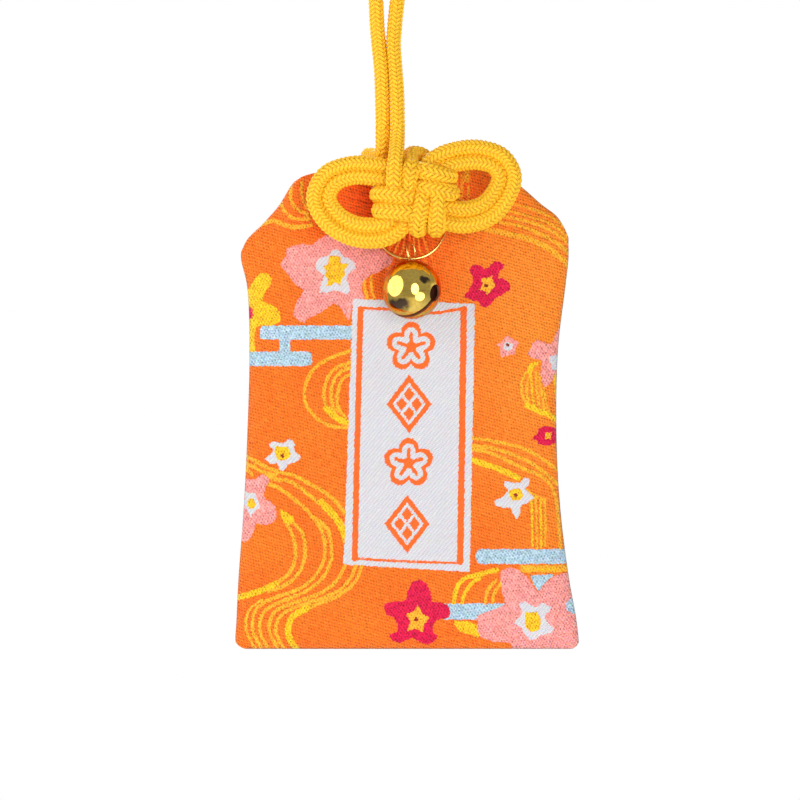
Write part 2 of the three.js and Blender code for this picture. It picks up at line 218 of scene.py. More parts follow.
def between(tree, factor, first, second):
    """A plain number, part of the way from the first to the second."""
    return step(tree, "ShaderNodeMix", factor, None, first, second).outputs[0]


def ranged(tree, value, low, high, to_low=0.0, to_high=1.0, kind="SMOOTHSTEP"):
    made = step(tree, "ShaderNodeMapRange", value, low, high, to_low, to_high)
    made.interpolation_type = kind
    return made.outputs[0]


def noise(tree, vector, scale, detail, roughness=None):
    return step(tree, "ShaderNodeTexNoise", vector, None, scale, detail, roughness).outputs


def cell_dice(tree, vector, cells):
    """One random number for each cell of a grid."""
    grid = vectors(tree, "FLOOR", vectors(tree, "MULTIPLY", vector, cells))
    return step(tree, "ShaderNodeTexWhiteNoise", grid, noise_dimensions="2D").outputs[0]


def attribute(tree, name):
    return step(tree, "ShaderNodeAttribute", attribute_name=name).outputs["Fac"]


def object_spot(tree):
    return step(tree, "ShaderNodeTexCoord").outputs["Object"]


def open_group(name, kind, inputs, outputs):
    """An empty node group with its named sockets."""
    tree = bpy.data.node_groups.new(name, kind)
    for label, socket_kind, value in inputs:
        socket = tree.interface.new_socket(label, in_out="INPUT", socket_type=socket_kind)
        if value is not None:
            socket.default_value = value
    for label, socket_kind in outputs:
        tree.interface.new_socket(label, in_out="OUTPUT", socket_type=socket_kind)
    return tree, tree.nodes.new("NodeGroupInput"), tree.nodes.new("NodeGroupOutput")


def placed_group(tree, group, **values):
    """A group as one node, with each input's label written in small letters and underscores."""
    made = step(tree, "ShaderNodeGroup", node_tree=group)
    for name, value in values.items():
        feed(tree, made.inputs[name.replace("_", " ").capitalize()], value)
    return made


def new_material(name):
    material = bpy.data.materials.new(name)
    material.use_nodes = True
    return material, material.node_tree, material.node_tree.nodes["Principled BSDF"]


def set_looks(tree, shader, looks):
    """Feeds a shader's inputs by their labels."""
    for label, value in looks.items():
        feed(tree, shader.inputs[label], value)


def bump(tree, shader, height, distance, strength=1.0):
    made = step(tree, "ShaderNodeBump", strength, distance)
    feed(tree, made.inputs["Height"], height)
    feed(tree, shader.inputs["Normal"], made.outputs[0])


# Effects that several finishes share
def weave_group():
    """Slanted ribs crossed by single threads; the vector is in millimetres on the cloth."""
    inputs = [
        ("Vector", "NodeSocketVector", None),
        ("Rib angle", FLOAT, -0.28),
        ("Rib spacing", FLOAT, 0.42),
        ("Thread spacing", FLOAT, 0.2),
        ("Net", FLOAT, 0.0),
    ]
    outputs = [("Height", FLOAT), ("Shade", FLOAT)]
    tree, given, result = open_group("weave", "ShaderNodeTree", inputs, outputs)
    vector = given.outputs["Vector"]
    drift = noise(tree, vector, 1.4, 2.0)["Color"]
    loose = vectors(tree, "ADD", vector, scaled(tree, drift, 0.36))
    turned = step(tree, "ShaderNodeVectorRotate", loose, rotation_type="Z_AXIS")
    feed(tree, turned.inputs["Angle"], product(tree, given.outputs["Rib angle"], -1.0))
    parts = split(tree, turned.outputs[0])
    rib_turn = sums(tree, "DIVIDE", product(tree, parts[1], math.tau), given.outputs["Rib spacing"])
    thread_turn = sums(tree, "DIVIDE", product(tree, parts[0], math.tau), given.outputs["Thread spacing"])
    slide = sums(tree, "ADD", thread_turn, product(tree, rib_turn, 0.5))
    rib = ranged(tree, sums(tree, "SINE", rib_turn), -1.0, 0.9)
    thread = ranged(tree, sums(tree, "SINE", slide), -1.0, 1.0)
    ribbed = sums(tree, "ADD", product(tree, rib, 0.65), product(tree, thread, 0.35))
    hollow = product(tree, sums(tree, "SUBTRACT", 1.0, rib), sums(tree, "SUBTRACT", 1.0, thread))
    depth = noise(tree, vector, 1.5, 2.0)[0]
    hollow = product(tree, hollow, ranged(tree, depth, 0.3, 0.7, 0.1, 1.5))
    netted = sums(tree, "SUBTRACT", sums(tree, "ADD", 0.72, product(tree, ribbed, 0.3)), hollow)
    height = between(tree, given.outputs["Net"], ribbed, netted)
    wear = noise(tree, vector, 1.9, 3.0)[0]
    feed(tree, result.inputs[0], height)
    feed(tree, result.inputs[1], sums(tree, "ADD", height, product(tree, wear, 0.5)))
    return tree


def flecks_group():
    """Uneven colour over a surface in fine and broad patches."""
    inputs = [("Vector", "NodeSocketVector", None), ("Fine", FLOAT, 2500.0), ("Broad", FLOAT, 160.0)]
    tree, given, result = open_group("flecks", "ShaderNodeTree", inputs, [("Value", FLOAT)])
    sizes = [given.outputs[label] for label in ("Fine", "Broad")]
    fine, broad = (product(tree, noise(tree, given.outputs["Vector"], size, 2.0)[0], 0.5) for size in sizes)
    feed(tree, result.inputs[0], sums(tree, "ADD", fine, broad))
    return tree


weave = weave_group()
flecks = flecks_group()

THREAD_COLOURS = {
    "blue": dye(166, 194, 210),
    "pink": dye(246, 146, 140),
    "magenta": dye(216, 0, 66),
    "white": dye(212, 208, 213),
    "yellow": dye(250, 186, 18),
    "gold": dye(255, 170, 36),
    "orange": dye(250, 106, 30),
    "brown": dye(140, 36, 14),
}
PANEL_COLOURS = ("white", "orange")
PALE_COLOURS = ("pink", "blue")


def dyed_ground(tree, cloth):
    """The ground's dye in patches, a little lighter and more yellow towards the right."""
    spots = placed_group(tree, flecks, vector=cloth, fine=3.0, broad=0.12)
    base = colours(tree, ranged(tree, spots.outputs[0], 0.3, 0.7), dye(246, 100, 8), dye(252, 119, 18))
    spot = split(tree, cloth)
    to_right = sums(tree, "ADD", spot[0], product(tree, spot[1], 0.35))
    return colours(tree, product(tree, ranged(tree, to_right, 16.5, 32.5), 0.6), base, dye(255, 142, 36))


def ground_with_painted_folds(tree, cloth, base):
    """Painted shade in the folds round the neck, as a deeper red in the ground's colour and as its shade,
    with painted highlights on the fold crests.
    """
    folds = attribute(tree, "painted_fold_shade")
    # painted shade: the ground turns a deeper red where the folds round the neck are deepest
    base = colours(tree, product(tree, folds, 0.72), base, dye(255, 62, 2))
    neck = split(tree, vectors(tree, "SUBTRACT", cloth, (NECK_X, NECK_HEIGHT, 0.0)))
    round_neck = sums(tree, "ARCTAN2", neck[0], product(tree, neck[1], -1.0))
    wander = noise(tree, cloth, 0.45, 2.0)[0]
    pleat_turn = sums(tree, "ADD", product(tree, round_neck, 44.0), product(tree, wander, 9.0))
    pleat = sums(tree, "SINE", pleat_turn)
    # painted shade in the pleat bottoms and painted light on their crests
    pleat_shade = ranged(tree, pleat, -1.0, 0.6, 0.78, 1.14)
    pleat_shade = between(tree, ranged(tree, folds, 0.25, 0.9), 1.0, pleat_shade)
    below_knot = ranged(tree, sums(tree, "ABSOLUTE", round_neck), 1.0, 0.6)
    # painted highlight: a paler orange on the fold crests below the knot
    crest = product(tree, ranged(tree, pleat, 0.2, 0.95), ranged(tree, folds, 0.3, 0.8), below_knot, 0.95)
    return colours(tree, crest, base, dye(255, 158, 44)), pleat_shade


def brocade_material():
    """The ground's weave and dye with painted shade and highlights in the folds round the neck, then one
    thread colour of the pattern over the other.
    """
    material, tree, shader = new_material("brocade")
    cloth = step(tree, "ShaderNodeUVMap", uv_map="cloth").outputs[0]
    weaves = (
        {"rib_angle": -0.3, "rib_spacing": 0.43, "thread_spacing": 0.41, "net": 0.55},
        {"rib_angle": 0.87, "rib_spacing": 0.42, "thread_spacing": 0.25},
        {"rib_angle": -0.9, "rib_spacing": 0.38, "thread_spacing": 0.43, "net": 0.85},
    )
    ground, panel, motif = (placed_group(tree, weave, vector=cloth, **sizes) for sizes in weaves)
    jitter = product(tree, sums(tree, "SUBTRACT", cell_dice(tree, cloth, (4.4, 4.2, 1.0)), 0.5), 0.17)
    stitch = cell_dice(tree, cloth, (3.1, 5.2, 1.0))
    stitch_shade = ranged(tree, stitch, 0.0, 1.0, 0.92, 1.07, "LINEAR")
    motif_stitch = ranged(tree, stitch, 0.0, 1.0, 0.78, 1.15, "LINEAR")
    base, pleat_shade = ground_with_painted_folds(tree, cloth, dyed_ground(tree, cloth))
    base = colours(tree, product(tree, stitch, 0.05), base, dye(255, 188, 110))
    shade = ranged(tree, ground.outputs["Shade"], 0.1, 1.2, 0.6, 1.12, "LINEAR")
    colour = colours(tree, 1.0, base, product(tree, shade, stitch_shade, pleat_shade), "MULTIPLY")
    height = ground.outputs["Height"]
    motif_shade = ranged(tree, motif.outputs["Shade"], 0.0, 1.25, 0.64, 1.14, "LINEAR")
    motif_shade = product(tree, motif_shade, motif_stitch)
    panel_shade = ranged(tree, panel.outputs["Shade"], 0.2, 1.1, 0.84, 1.04, "LINEAR")
    for name, thread_colour in THREAD_COLOURS.items():
        inside = ranged(tree, sums(tree, "ADD", attribute(tree, name), jitter), 0.035, -0.035)
        cover, cover_shade = (panel, panel_shade) if name in PANEL_COLOURS else (motif, motif_shade)
        worn = product(tree, stitch, 0.05 if name in PALE_COLOURS else 0.005)
        threads = colours(tree, worn, thread_colour, (1, 0.92, 0.88, 1))
        threads = colours(tree, 1.0, threads, cover_shade, "MULTIPLY")
        colour = colours(tree, inside, colour, threads)
        height = between(tree, inside, height, sums(tree, "ADD", cover.outputs["Height"], 0.5))
    height = sums(tree, "ADD", height, product(tree, stitch, 0.3))
    looks = {
        "Base Color": colour,
        "Roughness": ranged(tree, height, 0.0, 1.5, 0.72, 0.5, "LINEAR"),
        "Specular IOR Level": 0.22,
        "Subsurface Weight": 0.3,
        "Subsurface Radius": (1.0, 0.22, 0.05),
        "Subsurface Scale": 0.0016,
    }
    set_looks(tree, shader, looks)
    bump(tree, shader, height, 0.00009, 0.9)
    return material


def cord_material():
    """Golden yarns with a silky fibre: painted shade where yarns dip under each other and on the core
    between the strands, and a painted sheen in fibre flecks.
    """
    material, tree, shader = new_material("braided cord")
    along, around, rise, yarn = (attribute(tree, name) for name in ("along", "around", "rise", "yarn"))
    threads = combined(tree, product(tree, along, 2.2), product(tree, around, 9.0), yarn)
    fibre = noise(tree, threads, 1.6, 2.0, 0.6)[0]
    # painted shade: darker orange where a yarn dips under, lighter gold where it rises over
    colour = colours(tree, ranged(tree, rise, -1.0, 0.8), dye(238, 150, 14), dye(255, 191, 30))
    # painted sheen: paler gold flecks along the fibre
    shine = product(tree, ranged(tree, fibre, 0.3, 0.7), 0.4)
    looks = {
        "Base Color": colours(tree, shine, colour, dye(255, 208, 62)),
        "Roughness": ranged(tree, fibre, 0.2, 0.8, 0.42, 0.6),
        "Specular IOR Level": 0.3,
        "Subsurface Weight": 0.22,
        "Subsurface Radius": (1.0, 0.65, 0.12),
        "Subsurface Scale": 0.0008,
    }
    set_looks(tree, shader, looks)
    bump(tree, shader, fibre, 0.00004, 0.7)
    return material


def metal_material(name, colour, dull, roughness, painted_dark_reflections=(), lacquer=None):
    """Polished plating with faint rubbing marks and a duller film here and there, and dark brown patches at
    given places that are painted reflections.
    """
    material, tree, shader = new_material(name)
    spot = object_spot(tree)
    film = placed_group(tree, flecks, vector=spot, fine=2600.0, broad=420.0).outputs[0]
    rubbing = noise(tree, vectors(tree, "MULTIPLY", spot, (1.0, 1.0, 9.0)), 1800.0, 3.0)[0]
    tone = colours(tree, ranged(tree, film, 0.35, 0.75), colour, dull)
    # painted reflections: dark brown patches where the polished surface would mirror dark surroundings
    for middle, reach in painted_dark_reflections:
        uneven = scaled(tree, noise(tree, spot, 650.0, 3.0)["Color"], 0.0016)
        away = vectors(tree, "ADD", vectors(tree, "SUBTRACT", spot, middle), uneven)
        away = vectors(tree, "MULTIPLY", away, (0.6, 0.4, 1.1))
        near = step(tree, "ShaderNodeVectorMath", away, operation="LENGTH").outputs["Value"]
        tone = colours(tree, ranged(tree, near, reach, reach * 0.55), tone, dye(66, 42, 12))
    looks = {"Base Color": tone, "Roughness": ranged(tree, film, 0.3, 0.75, *roughness), "Metallic": 1.0}
    set_looks(tree, shader, looks | (lacquer or {}))
    bump(tree, shader, rubbing, 0.000004, 0.3)
    return material


def plain_weave_material(name, light, dark):
    """A thin even cloth."""
    material, tree, shader = new_material(name)
    lying, size = (math.radians(90), 0, 0), (1 / MM, 1 / MM, 1 / MM)
    flat = step(tree, "ShaderNodeMapping", object_spot(tree), None, lying, size).outputs[0]
    cloth = placed_group(tree, weave, vector=flat, rib_angle=0.0, rib_spacing=0.3, thread_spacing=0.3)
    tone = colours(tree, cloth.outputs["Shade"], dark, light)
    set_looks(tree, shader, {"Base Color": tone, "Roughness": 0.85})
    bump(tree, shader, cloth.outputs["Height"], 0.00005)
    return material


def pulp_material(name, light, dark, grain):
    """Card or paper: fibres and specks."""
    material, tree, shader = new_material(name)
    pulp = placed_group(tree, flecks, vector=object_spot(tree), fine=grain, broad=200.0).outputs[0]
    tone = colours(tree, ranged(tree, pulp, 0.35, 0.65), dark, light)
    set_looks(tree, shader, {"Base Color": tone, "Roughness": 0.9})
    bump(tree, shader, pulp, 0.00003, 0.5)
    return material


# Dark patches painted on the bell as reflections of dark surroundings
BELL_PAINTED_REFLECTIONS = [
    # place, and reach in metres
    (tuple(place((-0.25, -10.66, 49.1))), 0.0013),
    (tuple(place((3.3, -10.95, 52.5))), 0.0006),
]
BELL_LACQUER = {
    "Specular Tint": dye(214, 150, 50),
    "Coat Weight": 0.4,
    "Coat IOR": 1.8,
    "Coat Roughness": 0.06,
}
brocade = brocade_material()
cord_finish = cord_material()
ring_finish = metal_material("plated wire", dye(246, 208, 122), dye(222, 178, 92), (0.14, 0.3))
bell_finish = metal_material(
    "polished brass", dye(242, 206, 90), dye(208, 168, 54), (0.05, 0.12), BELL_PAINTED_REFLECTIONS, BELL_LACQUER
)
# The bell's inside faces get a darker brown finish.
bell_inside_finish = pulp_material("tarnished inside", dye(150, 84, 52), dye(112, 58, 36), 900.0)
pellet_finish = metal_material("dull steel", dye(170, 168, 162), dye(120, 116, 110), (0.35, 0.5))
lining_finish = plain_weave_material("lining cloth", dye(243, 234, 214), dye(205, 192, 168))
card_finish = pulp_material("card", dye(206, 186, 148), dye(172, 150, 112), 3000.0)
paper_finish = pulp_material("paper", dye(248, 244, 232), dye(232, 225, 208), 5000.0)

# Braided cord: sixteen yarns, eight each way, that pass over and under each other
CORD_STEP = 0.45
YARN_STEP = 0.215
PRESSED_SHARE = 0.22
CORE_SHARE = 1.25


def circle(tree, corners):
    made = step(tree, "GeometryNodeCurvePrimitiveCircle", corners, mode="RADIUS")
    made.inputs["Radius"].default_value = 1.0
    return made.outputs[0]


def tube(tree, path, section, size=None):
    """A closed skin along a path."""
    made = step(tree, "GeometryNodeCurveToMesh", path, section, size)
    made.inputs["Fill Caps"].default_value = True
    return made.outputs[0]


def stored(tree, mesh, name, value):
    return step(tree, "GeometryNodeStoreNamedAttribute", mesh, None, name, value).outputs[0]


def yarn_angle(tree, number, each, run, braid_length):
    """A yarn's angle round the path, and the way it turns, as 1 or -1."""
    last_one_way = sums(tree, "SUBTRACT", each, 0.5)
    other_way = sums(tree, "GREATER_THAN", number, last_one_way)
    way = sums(tree, "SUBTRACT", 1.0, product(tree, other_way, 2.0))
    start = product(tree, sums(tree, "DIVIDE", number, each), math.tau)
    turns = product(tree, sums(tree, "DIVIDE", run, braid_length), math.tau)
    return sums(tree, "ADD", start, product(tree, turns, way)), way


def yarn_place(tree, spine, angle, out, pressed):
    """The way a yarn faces, and its place out from the path, flatter where the cord is pressed."""
    across = vectors(tree, "CROSS_PRODUCT", spine["Tangent"], spine["Normal"])
    from_normal = scaled(tree, spine["Normal"], sums(tree, "COSINE", angle))
    outward = vectors(tree, "ADD", from_normal, scaled(tree, across, sums(tree, "SINE", angle)))
    change = product(tree, pressed, PRESSED_SHARE)
    flatter, wider = (sums(tree, kind, 1.0, change) for kind in ("SUBTRACT", "ADD"))
    squeezed = vectors(tree, "MULTIPLY", outward, combined(tree, wider, flatter, wider))
    return outward, vectors(tree, "ADD", spine["Position"], scaled(tree, squeezed, out))


def captured(tree, geometry, values):
    """The geometry with values kept on it before it moves, then those values."""
    kept = tree.nodes.new("GeometryNodeCaptureAttribute")
    for kind, label, _ in values:
        kept.capture_items.new(kind, label)
    for socket, value in zip(kept.inputs, (geometry, *(value for _, _, value in values))):
        feed(tree, socket, value)
    return kept.outputs[: len(values) + 1]


def yarn_section(tree, half_height, half_width):
    """A yarn's cut face, marked with the share of the way round it."""
    shaped = step(tree, "GeometryNodeTransform", circle(tree, 4))
    feed(tree, shaped.inputs["Scale"], combined(tree, half_height, half_width, 1.0))
    around = step(tree, "GeometryNodeSplineParameter").outputs[0]
    return stored(tree, shaped.outputs[0], "around", around)


def braid_group():
    """Turns a path with its half thickness and pressing into yarns round a plain core."""
    inputs = [
        ("Path", "NodeSocketGeometry", None),
        ("Braid length", FLOAT, BRAID_LENGTH * MM),
        ("Yarn half width", FLOAT, 0.28 * MM),
        ("Yarn half height", FLOAT, 0.19 * MM),
        ("Over and under", FLOAT, 0.08 * MM),
        ("Yarns each way", "NodeSocketInt", 8),
        ("Places along", "NodeSocketInt", 500),
        ("Finish", "NodeSocketMaterial", None),
    ]
    tree, given, result = open_group("braid", "GeometryNodeTree", inputs, [("Cord", "NodeSocketGeometry")])
    sizes = given.outputs
    path = step(tree, "GeometryNodeMeshToCurve", sizes["Path"]).outputs[0]
    length = step(tree, "GeometryNodeCurveLength", path).outputs[0]
    line = step(tree, "GeometryNodeCurvePrimitiveLine").outputs[0]
    fine = step(tree, "GeometryNodeResampleCurve", line, None, sizes["Places along"]).outputs[0]
    each = sizes["Yarns each way"]
    both_ways = product(tree, each, 2.0)
    copies = step(tree, "GeometryNodeDuplicateElements", fine, None, both_ways, domain="SPLINE")
    number = copies.outputs[1]
    share = step(tree, "GeometryNodeSplineParameter").outputs[0]
    run = product(tree, share, length)
    angle, way = yarn_angle(tree, number, each, run, sizes["Braid length"])
    half, press = (
        step(tree, "GeometryNodeInputNamedAttribute", name, data_type="FLOAT").outputs[0]
        for name in ("half", "press")
    )
    spine = step(tree, "GeometryNodeSampleCurve", path, half, share, mode="FACTOR").outputs
    pressed = step(tree, "GeometryNodeSampleCurve", path, press, share, mode="FACTOR").outputs[0]
    two_over_two = product(tree, angle, sums(tree, "DIVIDE", each, 2.0))
    wave = product(tree, sums(tree, "SINE", two_over_two), way)
    inset = sums(tree, "ADD", sizes["Over and under"], sizes["Yarn half height"])
    out = sums(tree, "SUBTRACT", spine[0], inset)
    out = sums(tree, "ADD", out, product(tree, wave, sizes["Over and under"]))
    outward, spot = yarn_place(tree, spine, angle, out, pressed)
    values = (
        ("VECTOR", "outward", outward),
        ("VECTOR", "spot", spot),
        ("FLOAT", "rise", wave),
        ("FLOAT", "run", run),
        ("FLOAT", "yarn", number),
    )
    yarns, outward, spot, rise, run, yarn = captured(tree, copies.outputs[0], values)
    laid = step(tree, "GeometryNodeSetPosition", yarns, None, spot).outputs[0]
    faced = step(tree, "GeometryNodeSetCurveNormal", laid, None, outward, mode="FREE").outputs[0]
    yarns = tube(tree, faced, yarn_section(tree, sizes["Yarn half height"], sizes["Yarn half width"]))
    for name, value in (("rise", rise), ("along", sums(tree, "DIVIDE", run, MM)), ("yarn", yarn)):
        yarns = stored(tree, yarns, name, value)
    core_size = sums(tree, "SUBTRACT", half, product(tree, inset, CORE_SHARE))
    # The core is marked as the deepest dip, so it takes the cord's painted shade in the gaps between yarns
    core = stored(tree, tube(tree, path, circle(tree, 8), core_size), "rise", -1.0)
    joined = tree.nodes.new("GeometryNodeJoinGeometry")
    feed(tree, joined.inputs[0], core)
    feed(tree, joined.inputs[0], yarns)
    smooth = step(tree, "GeometryNodeSetShadeSmooth", joined.outputs[0]).outputs[0]
    real = step(tree, "GeometryNodeRealizeInstances", smooth).outputs[0]
    done = step(tree, "GeometryNodeSetMaterial", real, None, sizes["Finish"]).outputs[0]
    feed(tree, result.inputs[0], done)
    return tree


braid = braid_group()


def braided(name, line, half, press):
    """A cord along a line of millimetre points, with its half thickness and how far it is pressed flat."""
    mesh = bpy.data.meshes.new(name)
    mesh.from_pydata([tuple(p) for p in place(line)], [(k, k + 1) for k in range(len(line) - 1)], [])
    store(mesh, "half", half * MM)
    store(mesh, "press", press)
    made = new_object(name, mesh)
    length = np.linalg.norm(np.diff(line, axis=0), axis=1).sum()
    modifier = made.modifiers.new("braid", "NODES")
    modifier.node_group = braid
    values = {"Places along": round(length / YARN_STEP), "Finish": cord_finish}
    for item in braid.interface.items_tree:
        if item.in_out == "INPUT" and item.name in values:
            modifier[item.identifier] = values[item.name]
    return applied(made), length


# Knot: rows of x, y, z, side angle and spread down the middle of the doubled cord, in millimetres
STRAND_PITCH = 1.9
PRESSED_SPREAD = 0.34
SWELL_PLACES = 14
FRONT = -10.75
MIDDLE = -8.75
BETWEEN = (FRONT + MIDDLE) / 2
BACK = -6.85
KNOT_MIDDLE = [
    (-0.62, FRONT, 67.0, -2, 1.18),
    (-0.8, FRONT, 65.2, 0, 1.06),
    (-0.83, BETWEEN, 63.9, 0, 1.02),
    (-0.9, MIDDLE, 62.5, 0, 1.0),
    (-1.18, MIDDLE, 60.9, -3, 1.0),
    (-1.6, MIDDLE, 59.4, -30, 1.05),
    (-3.5, MIDDLE, 58.35, -76, 1.08),
    (-7.2, -8.4, 58.45, -94, 1.1),
    (-10.35, -7.9, 60.2, -134, 1.08),
    (-11.95, -7.6, 63.1, -180, 1.06),
    (-10.7, -7.8, 65.8, -228, 1.04),
    (-7.5, -8.2, 66.95, -268, 1.0),
    (-4.4, -8.6, 66.75, -276, 1.0),
    (-2.5, MIDDLE, 66.4, -278, 1.02),
    (-0.83, MIDDLE, 66.2, -270, 1.1),
    (0.2, MIDDLE, 65.95, -270, 1.15),
    (1.5, BETWEEN, 65.75, -266, 1.2),
    (2.6, FRONT, 65.55, -264, 1.22),
    (4.4, FRONT, 65.15, -260, 1.22),
    (5.6, -10.0, 64.9, -260, 1.2),
    (6.05, -8.8, 64.95, -264, 1.15),
    (5.6, -7.4, 65.2, -266, 1.06),
    (4.5, BACK, 65.8, -268, 1.0),
    (1.5, BACK, 66.0, -268, 1.0),
    (-0.7, BACK, 65.6, -252, 1.05),
    (-2.1, BACK, 64.5, -230, 1.05),
    (-3.1, BACK, 63.4, -218, 1.06),
    (-3.75, -7.6, 62.6, -250, 1.1),
    (-3.85, -9.0, 62.45, -268, 1.18),
    (-3.2, -10.2, 62.4, -268, 1.2),
    (-2.0, FRONT, 62.3, -266, 1.22),
    (-0.2, FRONT, 62.15, -264, 1.22),
    (1.1, BETWEEN, 61.95, -266, 1.2),
    (2.5, MIDDLE, 61.6, -270, 1.12),
    (3.8, MIDDLE, 61.1, -270, 1.08),
    (5.6, MIDDLE, 60.67, -272, 1.12),
    (8.1, -8.5, 60.45, -262, 1.14),
    (11.2, -8.0, 61.45, -238, 1.12),
    (13.3, -7.7, 64.1, -205, 1.08),
    (13.8, -7.6, 66.3, -175, 1.06),
    (12.5, -7.7, 68.3, -135, 1.06),
    (9.8, -8.0, 69.1, -98, 1.06),
    (7.2, -8.4, 68.9, -80, 1.06),
    (5.2, MIDDLE, 68.3, -52, 1.06),
    (3.7, MIDDLE, 67.3, -20, 1.06),
    (3.1, MIDDLE, 66.0, 0, 1.12),
    (2.95, MIDDLE, 65.0, 0, 1.12),
    (3.1, BETWEEN, 63.9, 0, 1.1),
    (3.15, FRONT, 62.6, 0, 1.12),
    (2.9, FRONT, 60.8, 0, 1.28),
    (2.72, -10.0, 59.35, 0, 1.4),
    (2.75, -8.8, 58.8, 0, 1.3),
    (2.75, -7.5, 59.1, 5, 1.1),
    (2.5, -6.65, 60.0, 26, 1.05),
    (1.6, -5.9, 61.25, 38, 1.06),
    (NECK_X, -4.5, NECK_HEIGHT, 12, 1.05),
    (NECK_X, -3.0, NECK_HEIGHT, 0, 1.0),
    (NECK_X, -0.4, NECK_HEIGHT, 0, 1.0),
]
FIRST_LEG = [
    (-1.35, -7.4, 73),
    (-1.38, -8.0, 71.6),
    (-1.45, -8.9, 70.2),
    (-1.58, -9.9, 69.0),
    (-1.7, -10.5, 68.0),
]
OVER_MOUTH = [
    (-0.35, 0.8, 62.1),
    (-0.15, 1.45, 63.0),
    (1.4, 1.5, 64.4),
    (3.6, 1.7, 66.4),
    (5.6, 1.2, 68.4),
    (6.4, -0.4, 69.2),
    (6.0, -2.2, 68.9),
    (4.9, -3.6, 68.2),
    (3.6, -4.4, 68.2),
    (1.9, -5.3, 69.3),
    (0.7, -6.3, 69.4),
    (0.4, -7.7, 68.8),
    (0.55, -9.2, 67.8),
    (0.52, -10.2, 67.45),
]
SECOND_LEG = [
    (1.55, 1.0, 62.0),
    (2.1, 2.8, 62.8),
    (0.6, 3.5, 64.6),
    (-2.0, 3.2, 66.6),
    (-4.3, 1.8, 68.2),
    (-5.3, -0.4, 69.2),
    (-5.3, -2.4, 69.3),
    (-4.5, -4.2, 69.1),
    (-3.65, -5.6, 69.3),
    (-3.37, -6.3, 70.4),
    (-3.37, -6.5, 71.7),
    (-3.37, -6.5, 73),
]


def knot_strand(way):
    rows = []
    for x, y, z, angle, spread in KNOT_MIDDLE:
        turn = math.radians(angle)
        shift = way * spread * STRAND_PITCH / 2
        rows.append((x + shift * math.cos(turn), y, z + shift * math.sin(turn), spread))
    return rows


knot_rows = [(*p, 1.0) for p in FIRST_LEG] + knot_strand(-1) + [(*p, 1.0) for p in OVER_MOUTH]
knot_rows += knot_strand(1) + [(*p, 1.0) for p in SECOND_LEG]
knot_line = smooth_line(knot_rows, CORD_STEP)
knot_press = np.clip((knot_line[:, 3] - 1.0) / PRESSED_SPREAD, 0, 1)
knot_places = np.arange(len(knot_line))
knot_ends = np.minimum(knot_places, knot_places[::-1])
knot_half = CORD_HALF + KNOT_SWELL * np.clip(knot_ends / SWELL_PLACES, 0, 1)
knot_cord, _ = braided("knot_braid", knot_line[:, :3], knot_half, knot_press)
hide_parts("knot_cord")
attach(knot_cord, "charm")

LOOP_POINTS = [
    (-1.35, -7.4, 73.0),
    (-1.45, -6.9, 77.7),
    (-1.7, -6.4, 81.2),
    (-1.92, -6.0, 84.7),
    (-1.76, -5.7, 87.0),
    (-1.35, -5.4, 91.0),
    (-0.3, -5.0, 97.0),
    (0.9, -4.5, 104.0),
    (4.0, -3.6, 118.0),
    (5.2, -3.2, 128.0),
    (2.4, -3.0, 136.4),
    (-2.7, -3.0, 139.0),
    (-7.8, -3.0, 136.4),
    (-10.6, -3.2, 128.0),
    (-9.4, -3.6, 118.0),
    (-6.2, -4.4, 104.0),
    (-5.1, -5.0, 97.0),
    (-4.4, -5.4, 91.0),
    (-4.18, -5.6, 87.0),
    (-3.96, -5.8, 84.5),
    (-3.62, -6.2, 81.2),
    (-3.48, -6.4, 77.7),
    (-3.37, -6.5, 73.0),
]
loop_line = smooth_line(LOOP_POINTS, CORD_STEP)
loop_half = np.full(len(loop_line), CORD_HALF)
hang_loop, loop_length = braided("loop_braid", loop_line, loop_half, np.zeros(len(loop_line)))
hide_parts("hang_loop")
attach(hang_loop, "charm")

# Pouch outline: shares of its height and width, left and right of the middle line
SIDE_SHARES = [
    (0, 0.492, 0.5),
    (0.012, 0.502, 0.503),
    (0.06, 0.5, 0.496),
    (0.147, 0.494, 0.474),
    (0.288, 0.479, 0.449),
    (0.43, 0.469, 0.438),
    (0.614, 0.462, 0.442),
    (0.746, 0.469, 0.464),
    (0.804, 0.487, 0.473),
    (0.835, 0.484, 0.473),
    (1, 0.482, 0.471),
]
MOUTH_LINE = [
    (-1, 55.8),
    (-0.974, 57.4),
    (-0.875, 59.8),
    (-0.774, 62.5),
    (-0.728, 64.3),
    (-0.69, 65.6),
    (-0.636, 66.4),
    (-0.5, 67.2),
    (-0.3, 68.0),
    (0, 68.4),
    (0.3, 68.0),
    (0.55, 66.9),
    (0.69, 65.3),
    (0.84, 62.4),
    (0.93, 60.8),
    (0.98, 59.0),
    (1, 57.8),
]
MOUTH_SCALE = 40
CORNER_START = 0.655
CHAMFER_SLOPE = 0.8
BOTTOM_CORNER_RISE = 0.9
BOTTOM_CORNER_START = 0.955
BOTTOM_CORNER_WIDTH = 0.045
INSIDE_WIDTH = 0.985
INSIDE_LOW = 0.35
INSIDE_TRIM = 0.15
side_curve = smooth_line(SIDE_SHARES, 0.01)
mouth_curve = smooth_line([(share, height / MOUTH_SCALE) for share, height in MOUTH_LINE], 0.02)


def half_width(height, side):
    share = np.clip(height / POUCH_HEIGHT, 0, 1)
    left = np.interp(share, side_curve[:, 0], side_curve[:, 1])
    right = np.interp(share, side_curve[:, 0], side_curve[:, 2])
    return POUCH_WIDTH * PERSPECTIVE * np.where(side < 0, left, right)


def top_height(side):
    """The mouth arches up between two folded corners."""
    return np.interp(side, mouth_curve[:, 0], mouth_curve[:, 1]) * MOUTH_SCALE


